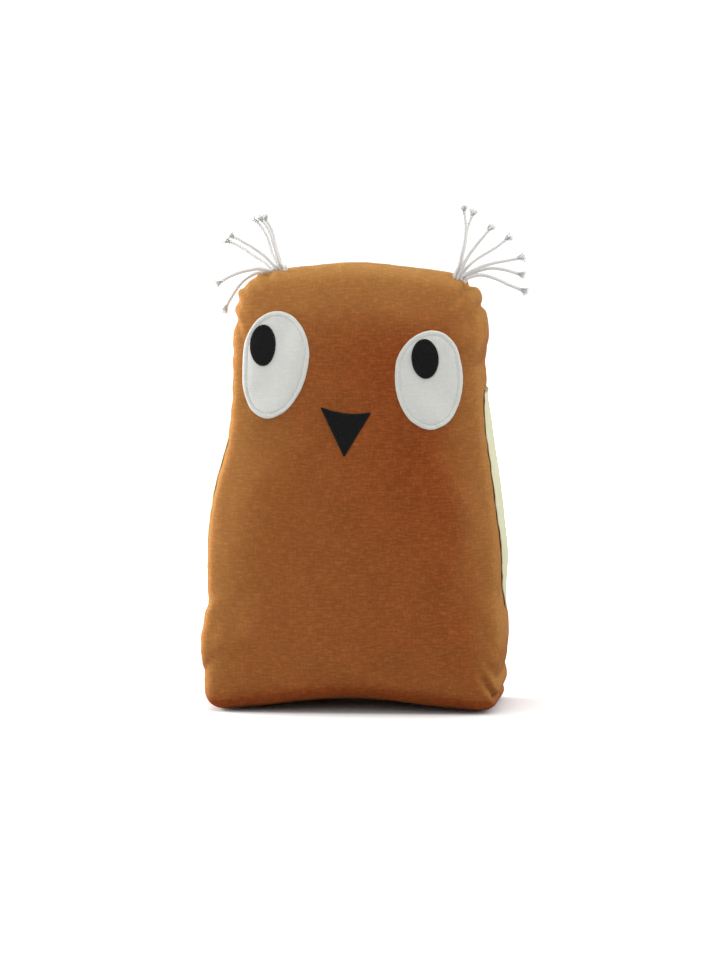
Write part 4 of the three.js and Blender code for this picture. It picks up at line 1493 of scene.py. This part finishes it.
class OwlCordSettings(bpy.types.PropertyGroup):
    """The twisted cords of the ear tufts."""

    diameter: FloatProperty(
        name="Diameter", default=CORD_DIAMETER, min=0.0005, unit="LENGTH",
        description="Diameter of a cord",
    )
    twist: FloatProperty(
        name="Twist", default=0.0062, min=0.001, unit="LENGTH",
        description="Length of cord in which a strand goes round once",
    )
    fibres: IntProperty(
        name="Fibres", default=84, min=3, max=300, description="Loose fibres at the end of a cord",
    )
    fibre_width: FloatProperty(
        name="Fibre width", default=0.00036, min=0.00002, unit="LENGTH",
        description="Thickness of a small bundle of loose fibres",
    )
    fray_length: FloatProperty(
        name="Fray length", default=0.0072, min=0.001, unit="LENGTH",
        description="Length of the loose fibres",
    )
    fray_width: FloatProperty(
        name="Fray width", default=0.0068, min=0.001, unit="LENGTH",
        description="How wide the loose fibres spread",
    )
    colour: FloatVectorProperty(
        name="Cord colour", default=(0.765, 0.76, 0.737), size=3, min=0, max=1, subtype="COLOR",
        description="Colour of the cords",
    )
    shade: FloatVectorProperty(
        name="Cord shade", default=(0.7, 0.695, 0.672), size=3, min=0, max=1, subtype="COLOR",
        description="Colour between the fibres of a cord",
    )


class OwlStageSettings(bpy.types.PropertyGroup):
    """Camera, floor and lights."""

    azimuth: FloatProperty(
        name="Camera turn", default=math.radians(5), subtype="ANGLE",
        description="How far the camera stands round towards the owl's left",
    )
    elevation: FloatProperty(
        name="Camera height", default=math.radians(5.5), subtype="ANGLE",
        description="How far the camera looks down",
    )
    distance: FloatProperty(
        name="Camera distance", default=4.5, min=0.5, unit="LENGTH",
        description="Distance from the camera to the owl",
    )
    view_height: FloatProperty(
        name="View height", default=0.6485, min=0.05, unit="LENGTH",
        description="Height that the picture takes in at the owl",
    )
    aim_side: FloatProperty(
        name="Aim across", default=0.0016, unit="LENGTH",
        description="How far to the right of the owl's middle the camera looks",
    )
    aim_height: FloatProperty(
        name="Aim height", default=0.1512, unit="LENGTH",
        description="Height in the picture that the camera looks at",
    )
    left_light: FloatProperty(
        name="Left light", default=57.0, min=0,
        description="Power of the left light",
    )
    right_light: FloatProperty(
        name="Right light", default=15.0, min=0,
        description="Power of the right light",
    )
    top_light: FloatProperty(
        name="Top light", default=12.5, min=0,
        description="Power of the top light",
    )
    front_light: FloatProperty(
        name="Front light", default=8.5, min=0,
        description="Power of the front light",
    )
    room_light: FloatProperty(
        name="Room light", default=0.62, min=0,
        description="Light from all sides",
    )


# The cloths and yarns, each made once

def made_once(make, name, *finish, **more):
    """The material of this name, made when it is first asked for."""
    return bpy.data.materials.get(name) or make(name, *finish, **more)


def rust_cloth(body):
    return made_once(
        woven_cloth, "woven_rust", body.colour, body.light_colour, body.painted_sheen_colour,
        pitch=body.weave_pitch, nap=body.nap, mottle=1.0, relief=0.00014, steady=True,
    )


# The wing cloth and the eye whites get the same painted sheen, in their own lighter colours and
# weaker
def pale_green_cloth(wing):
    return made_once(
        woven_cloth, "woven_pale_green", wing.colour, wing.light_colour, (0.82, 0.82, 0.64),
        pitch=0.0009, nap=0.12, mottle=0.8, relief=0.00014,
    )


def white_patch_cloth(face):
    return made_once(
        woven_cloth, "woven_white", face.white, face.bright_white, (0.95, 0.95, 0.93),
        pitch=0.0008, nap=0.12, mottle=0.7, relief=0.00012,
    )


def black_patch_cloth(face):
    return made_once(felt_cloth, "black_felt", face.felt, face.felt_fibre)


# Sewing threads: their colour, and the shade between their fibres
THREAD_COLOURS = {
    "white": ((0.74, 0.73, 0.69), (0.5, 0.5, 0.47)),
    "pale_green": ((0.62, 0.61, 0.42), (0.42, 0.41, 0.27)),
    "black": ((0.03, 0.03, 0.031), (0.008, 0.008, 0.008)),
}


def sewing_thread(kind):
    return made_once(spun_cotton, f"{kind}_sewing_thread", *THREAD_COLOURS[kind], sheen=0.1)


def cord_cotton(cord):
    return made_once(
        spun_cotton, "spun_cord", cord.colour, cord.shade, sheen=0.1, lets_light_in=0.7,
    )


def fibre_fill():
    return made_once(
        spun_cotton, "loose_filling", (0.86, 0.86, 0.83), (0.66, 0.66, 0.62), sheen=0.3,
    )


# The steps of making the owl

class OwlStep:
    """What every step shares."""

    bl_options = {"REGISTER", "UNDO"}


# Where each light of the stage stands, how wide it is, and the height that they all look at
STAGE_LIGHTS = {
    "left_light": ((-1.35, 0.45, 0.28), 1.2),
    "right_light": ((1.35, 0.25, 0.8), 1.7),
    "top_light": ((-0.1, -0.3, 1.7), 1.5),
    "front_light": ((-0.3, -2.2, 0.9), 1.2),
}
LIGHTS_LOOK_AT = 0.15

# The floor: its size, the half extents of the owl's foot on it, how a painted glow, seen only by the
# camera, brightens it away from the foot, as distances and strengths, which leaves the floor near the
# foot darker than further off, and how bright the room behind it looks
FLOOR_RADIUS = 3.0
FLOOR_SIDES = 96
FOOTPRINT = (0.09, 0.045, 1.0)
NEAR_PAINTED_GLOW = (0.0, 0.04, 0.12)
FAR_PAINTED_GLOW = (0.2, 0.8, 0.9)
BACKDROP_BRIGHTNESS = 1.2


class OwlSetStage(OwlStep, bpy.types.Operator):
    """Set up the pale floor, the soft lights and the camera"""

    bl_idname = "owl.set_stage"
    bl_label = "Set the stage"

    def execute(self, context):
        stage = context.scene.owl_stage
        self.add_camera(context, stage)
        self.add_floor()
        self.add_room(context, stage)
        for name, (place, size) in STAGE_LIGHTS.items():
            self.add_light(context, name, getattr(stage, name), Vector(place), size)
        context.scene.view_settings.view_transform = "Standard"
        return {"FINISHED"}

    def add_camera(self, context, stage):
        turn, rise = stage.azimuth, stage.elevation
        back = Vector((
            math.sin(turn) * math.cos(rise), -math.cos(turn) * math.cos(rise), math.sin(rise),
        ))
        right = Vector((math.cos(turn), math.sin(turn), 0))
        up = back.cross(right)
        data = bpy.data.cameras.new("camera")
        data.sensor_width = 36
        data.lens = data.sensor_width * stage.distance / stage.view_height
        data.clip_end = 100
        camera = bpy.data.objects.new("camera", data)
        camera.location = right * stage.aim_side + up * stage.aim_height + back * stage.distance
        camera.rotation_mode = "QUATERNION"
        camera.rotation_quaternion = (-back).to_track_quat("-Z", "Y")
        context.scene.collection.objects.link(camera)
        context.scene.camera = camera

    def add_floor(self):
        angle = 2 * np.pi * np.arange(FLOOR_SIDES) / FLOOR_SIDES
        rim = np.stack([
            np.cos(angle) * FLOOR_RADIUS, np.sin(angle) * FLOOR_RADIUS, np.zeros(FLOOR_SIDES),
        ], axis=1)
        floor = new_mesh_object("floor", rim, [tuple(range(FLOOR_SIDES))], smooth=False)
        nodes = Nodes("pale_floor")
        place = nodes.add("ShaderNodeTexCoord").outputs["Object"]
        past = nodes.vector_math("SUBTRACT", nodes.vector_math("ABSOLUTE", place), FOOTPRINT)
        past = nodes.vector_math("MAXIMUM", past, (0, 0, 0))
        length = nodes.add("ShaderNodeVectorMath", {0: past}, operation="LENGTH")
        far = length.outputs["Value"]
        # A painted glow, seen only by the camera: none at the foot, rising away from it
        away = 0.0
        for start, end, strength in (FAR_PAINTED_GLOW, NEAR_PAINTED_GLOW):
            away = nodes.math("MULTIPLY_ADD", nodes.ramp(far, start, end), strength, away)
        seen = nodes.add("ShaderNodeLightPath").outputs["Is Camera Ray"]
        grain = nodes.noise(place, 180.0, 2.0)
        paper = nodes.mix(grain, (0.88, 0.88, 0.88, 1), (0.92, 0.92, 0.92, 1))
        floor.data.materials.append(nodes.finish({
            "Base Color": nodes.mix(seen, (0.5, 0.5, 0.5, 1), paper),
            "Roughness": 0.8,
            "Specular IOR Level": 0.1,
            "Emission Color": (1, 1, 1, 1),
            "Emission Strength": nodes.math("MULTIPLY", away, seen),
        }))

    def add_room(self, context, stage):
        world = bpy.data.worlds.new("room")
        context.scene.world = world
        world.use_nodes = True
        tree = world.node_tree
        tree.nodes.clear()
        seen = tree.nodes.new("ShaderNodeLightPath")
        strength = tree.nodes.new("ShaderNodeMapRange")
        strength.inputs["To Min"].default_value = stage.room_light
        strength.inputs["To Max"].default_value = BACKDROP_BRIGHTNESS
        background = tree.nodes.new("ShaderNodeBackground")
        background.inputs["Color"].default_value = (1, 1, 1, 1)
        output = tree.nodes.new("ShaderNodeOutputWorld")
        tree.links.new(seen.outputs["Is Camera Ray"], strength.inputs["Value"])
        tree.links.new(strength.outputs[0], background.inputs["Strength"])
        tree.links.new(background.outputs[0], output.inputs[0])

    def add_light(self, context, name, power, place, size):
        data = bpy.data.lights.new(name, "AREA")
        data.energy = power
        data.shape = "DISK"
        data.size = size
        light = bpy.data.objects.new(name, data)
        light.location = place
        aim = place - Vector((0, 0, LIGHTS_LOOK_AT))
        light.rotation_mode = "QUATERNION"
        light.rotation_quaternion = aim.to_track_quat("Z", "Y")
        light.visible_camera = False
        context.scene.collection.objects.link(light)


class OwlSewBody(OwlStep, bpy.types.Operator):
    """Sew the four panels of the body, and stuff them"""

    bl_idname = "owl.sew_body"
    bl_label = "Sew and stuff the body"

    def execute(self, context):
        body = context.scene.owl_body
        fine, filling = build_skin(body)
        for index, (name, node) in enumerate(SKIN_PIECES):
            piece = cut_piece(fine, index, name)
            give_thickness(piece, body.cloth_thickness)
            dress(piece, "body", "rust_cloth", rust_cloth(body), node)
        bpy.data.meshes.remove(fine)
        dress(filling, "body", "fibre_fill", fibre_fill(), "stuffing")
        return {"FINISHED"}


class OwlSewEyes(OwlStep, bpy.types.Operator):
    """Sew on the hemmed eye whites and the felt pupils"""

    bl_idname = "owl.sew_eyes"
    bl_label = "Sew the eyes"

    def execute(self, context):
        face = context.scene.owl_face
        cloth = FaceCloth()
        for number, side in enumerate(("left", "right")):
            self.sew_white(face, cloth, side, number)
            self.sew_pupil(face, cloth, side, number)
        return {"FINISHED"}

    def sew_white(self, face, cloth, side, number):
        centre = face_place(EYE_PLACES[side])
        outline = eye_outline(side, centre, EYE_COLUMNS)
        patch = sewn_patch(
            f"{side}_eye_patch", outline, centre, HEMMED, cloth, 0.0,
            unevenness=0.12, seed=SEEDS["eye"] + number,
        )
        dress(patch, "body", "white_patch_cloth", white_patch_cloth(face), f"{side}_eye_white")
        thread = patch_stitches(
            f"{side}_eye_stitching", outline, centre, HEM_SEAM, cloth, 0.0,
            face.stitch, face.stitch_gap, face.thread,
        )
        dress(thread, "body", "white_patch_cloth", sewing_thread("white"))

    def sew_pupil(self, face, cloth, side, number):
        centre = face_place(PUPIL_PLACES[side])
        outline = pupil_outline(side, centre, PUPIL_COLUMNS)
        sew_felt(
            f"{side}_pupil", outline, centre, face, cloth, PUPIL_LIFT, PUPIL_SEAM,
            unevenness=0.08, seed=SEEDS["pupil"] + number,
        )


class OwlSewBeak(OwlStep, bpy.types.Operator):
    """Sew on the felt beak"""

    bl_idname = "owl.sew_beak"
    bl_label = "Sew the beak"

    def execute(self, context):
        face = context.scene.owl_face
        place = face_place(BEAK_PLACE)
        centre = place - (0, BEAK_SIZE[1] / 3)
        outline = beak_outline(place, BEAK_COLUMNS)
        sew_felt(
            "beak", outline, centre, face, FaceCloth(), 0.0, BEAK_SEAM,
            unevenness=0.06, seed=SEEDS["beak"],
        )
        return {"FINISHED"}


class OwlMakeWings(OwlStep, bpy.types.Operator):
    """Make the two padded wings and hang them on the sides"""

    bl_idname = "owl.make_wings"
    bl_label = "Make the wings"

    def execute(self, context):
        wing = context.scene.owl_wing
        for name, side in (("left", 1), ("right", -1)):
            cloth = SideCloth(side)
            self.make_outer(name, cloth, wing)
            self.make_under(name, cloth, wing)
            self.make_filling(name, cloth, wing)
            tacks = hinge_tacks(f"{name}_wing_tacks", cloth)
            dress(tacks, "body", "pale_green_cloth", sewing_thread("pale_green"))
        return {"FINISHED"}

    def make_outer(self, name, cloth, wing):
        rim = WING_LIFT + WING_RIM
        lifts = [*wing_lift(wing, OUTER_RINGS[:-3]), *(rim - turn for turn in HEM_TURNS)]
        seed = SEEDS["wing_outer"]
        outer = wing_sheet(f"{name}_wing_outer", cloth, OUTER_RINGS, lifts, EDGE_RIPPLE, seed)
        turn_faces(outer, (cloth.side, 0, 0))
        give_thickness(outer, wing.cloth_thickness)
        green = pale_green_cloth(wing)
        dress(outer, f"{name}_wing", "pale_green_cloth", green, f"{name}_wing_cloth")

    def make_under(self, name, cloth, wing):
        lifts = [WING_LIFT] * 5 + [WING_LIFT + 0.0001]
        seed = SEEDS["wing_under"]
        under = wing_sheet(f"{name}_wing_under", cloth, UNDER_RINGS, lifts, 0.0, seed)
        turn_faces(under, (-cloth.side, 0, 0))
        give_thickness(under, wing.cloth_thickness)
        green = pale_green_cloth(wing)
        dress(under, f"{name}_wing", "pale_green_cloth", green, f"{name}_wing_lining")

    def make_filling(self, name, cloth, wing):
        lifts = wing_lift(wing, FILLING_RINGS) - wing.cloth_thickness - FILLING_SLACK
        seed = SEEDS["wing_filling"]
        top = wing_sheet(f"{name}_wing_filling", cloth, FILLING_RINGS, lifts, 0.0, seed)
        turn_faces(top, (cloth.side, 0, 0))
        give_thickness(top, FILLING_THICKNESS)
        dress(top, f"{name}_wing", "fibre_fill", fibre_fill(), f"{name}_wing_wadding")


class OwlMakeTufts(OwlStep, bpy.types.Operator):
    """Sew in the two ear tufts of twisted cord with frayed ends"""

    bl_idname = "owl.make_tufts"
    bl_label = "Make the ear tufts"

    def execute(self, context):
        cord = context.scene.owl_cord
        for side, routes in CORD_ROUTES_MM.items():
            for index in range(len(routes)):
                self.make_cord(cord, side, index, SEEDS[f"{side}_tuft"] + index)
        return {"FINISHED"}

    def make_cord(self, cord, side, index, seed):
        number = index + 1
        line, exit_point = cord_line(side, index)
        strands, path, length = twisted_cord(f"{side}_tuft_strands_{number}", line, cord, seed)
        dress(strands, "body", "cord_cotton", cord_cotton(cord), f"{side}_tuft_cord_{number}")
        fray = frayed_end(f"{side}_tuft_fray_{number}", line, cord, seed + FRAY_SEED_STEP)
        dress(fray, "body", "cord_cotton", cord_cotton(cord))


class OwlPanel(bpy.types.Panel):
    """Steps and settings of the plush owl"""

    bl_idname = "VIEW3D_PT_owl"
    bl_label = "Plush owl"
    bl_space_type = "VIEW_3D"
    bl_region_type = "UI"
    bl_category = "Owl"

    def draw(self, context):
        for step in STEPS:
            self.layout.operator(step.bl_idname)
        for name, (title, _) in SETTINGS.items():
            box = self.layout.box()
            box.label(text=title)
            settings = getattr(context.scene, name)
            for key in settings.__annotations__:
                box.prop(settings, key)


SETTINGS = {
    "owl_stage": ("Stage", OwlStageSettings),
    "owl_body": ("Body", OwlBodySettings),
    "owl_face": ("Face", OwlFaceSettings),
    "owl_wing": ("Wings", OwlWingSettings),
    "owl_cord": ("Cords", OwlCordSettings),
}
STEPS = (OwlSetStage, OwlSewBody, OwlSewEyes, OwlSewBeak, OwlMakeWings, OwlMakeTufts)


def register():
    for name, (_, settings) in SETTINGS.items():
        bpy.utils.register_class(settings)
        setattr(bpy.types.Scene, name, PointerProperty(type=settings))
    for made in (*STEPS, OwlPanel):
        bpy.utils.register_class(made)


def unregister():
    for made in reversed((*STEPS, OwlPanel)):
        bpy.utils.unregister_class(made)
    for name, (_, settings) in SETTINGS.items():
        delattr(bpy.types.Scene, name)
        bpy.utils.unregister_class(settings)


def main():
    register()
    bpy.ops.owl.set_stage()
    bpy.ops.owl.sew_body()
    bpy.ops.owl.sew_eyes()
    bpy.ops.owl.sew_beak()
    bpy.ops.owl.make_wings()
    bpy.ops.owl.make_tufts()


if __name__ == "__main__":
    main()
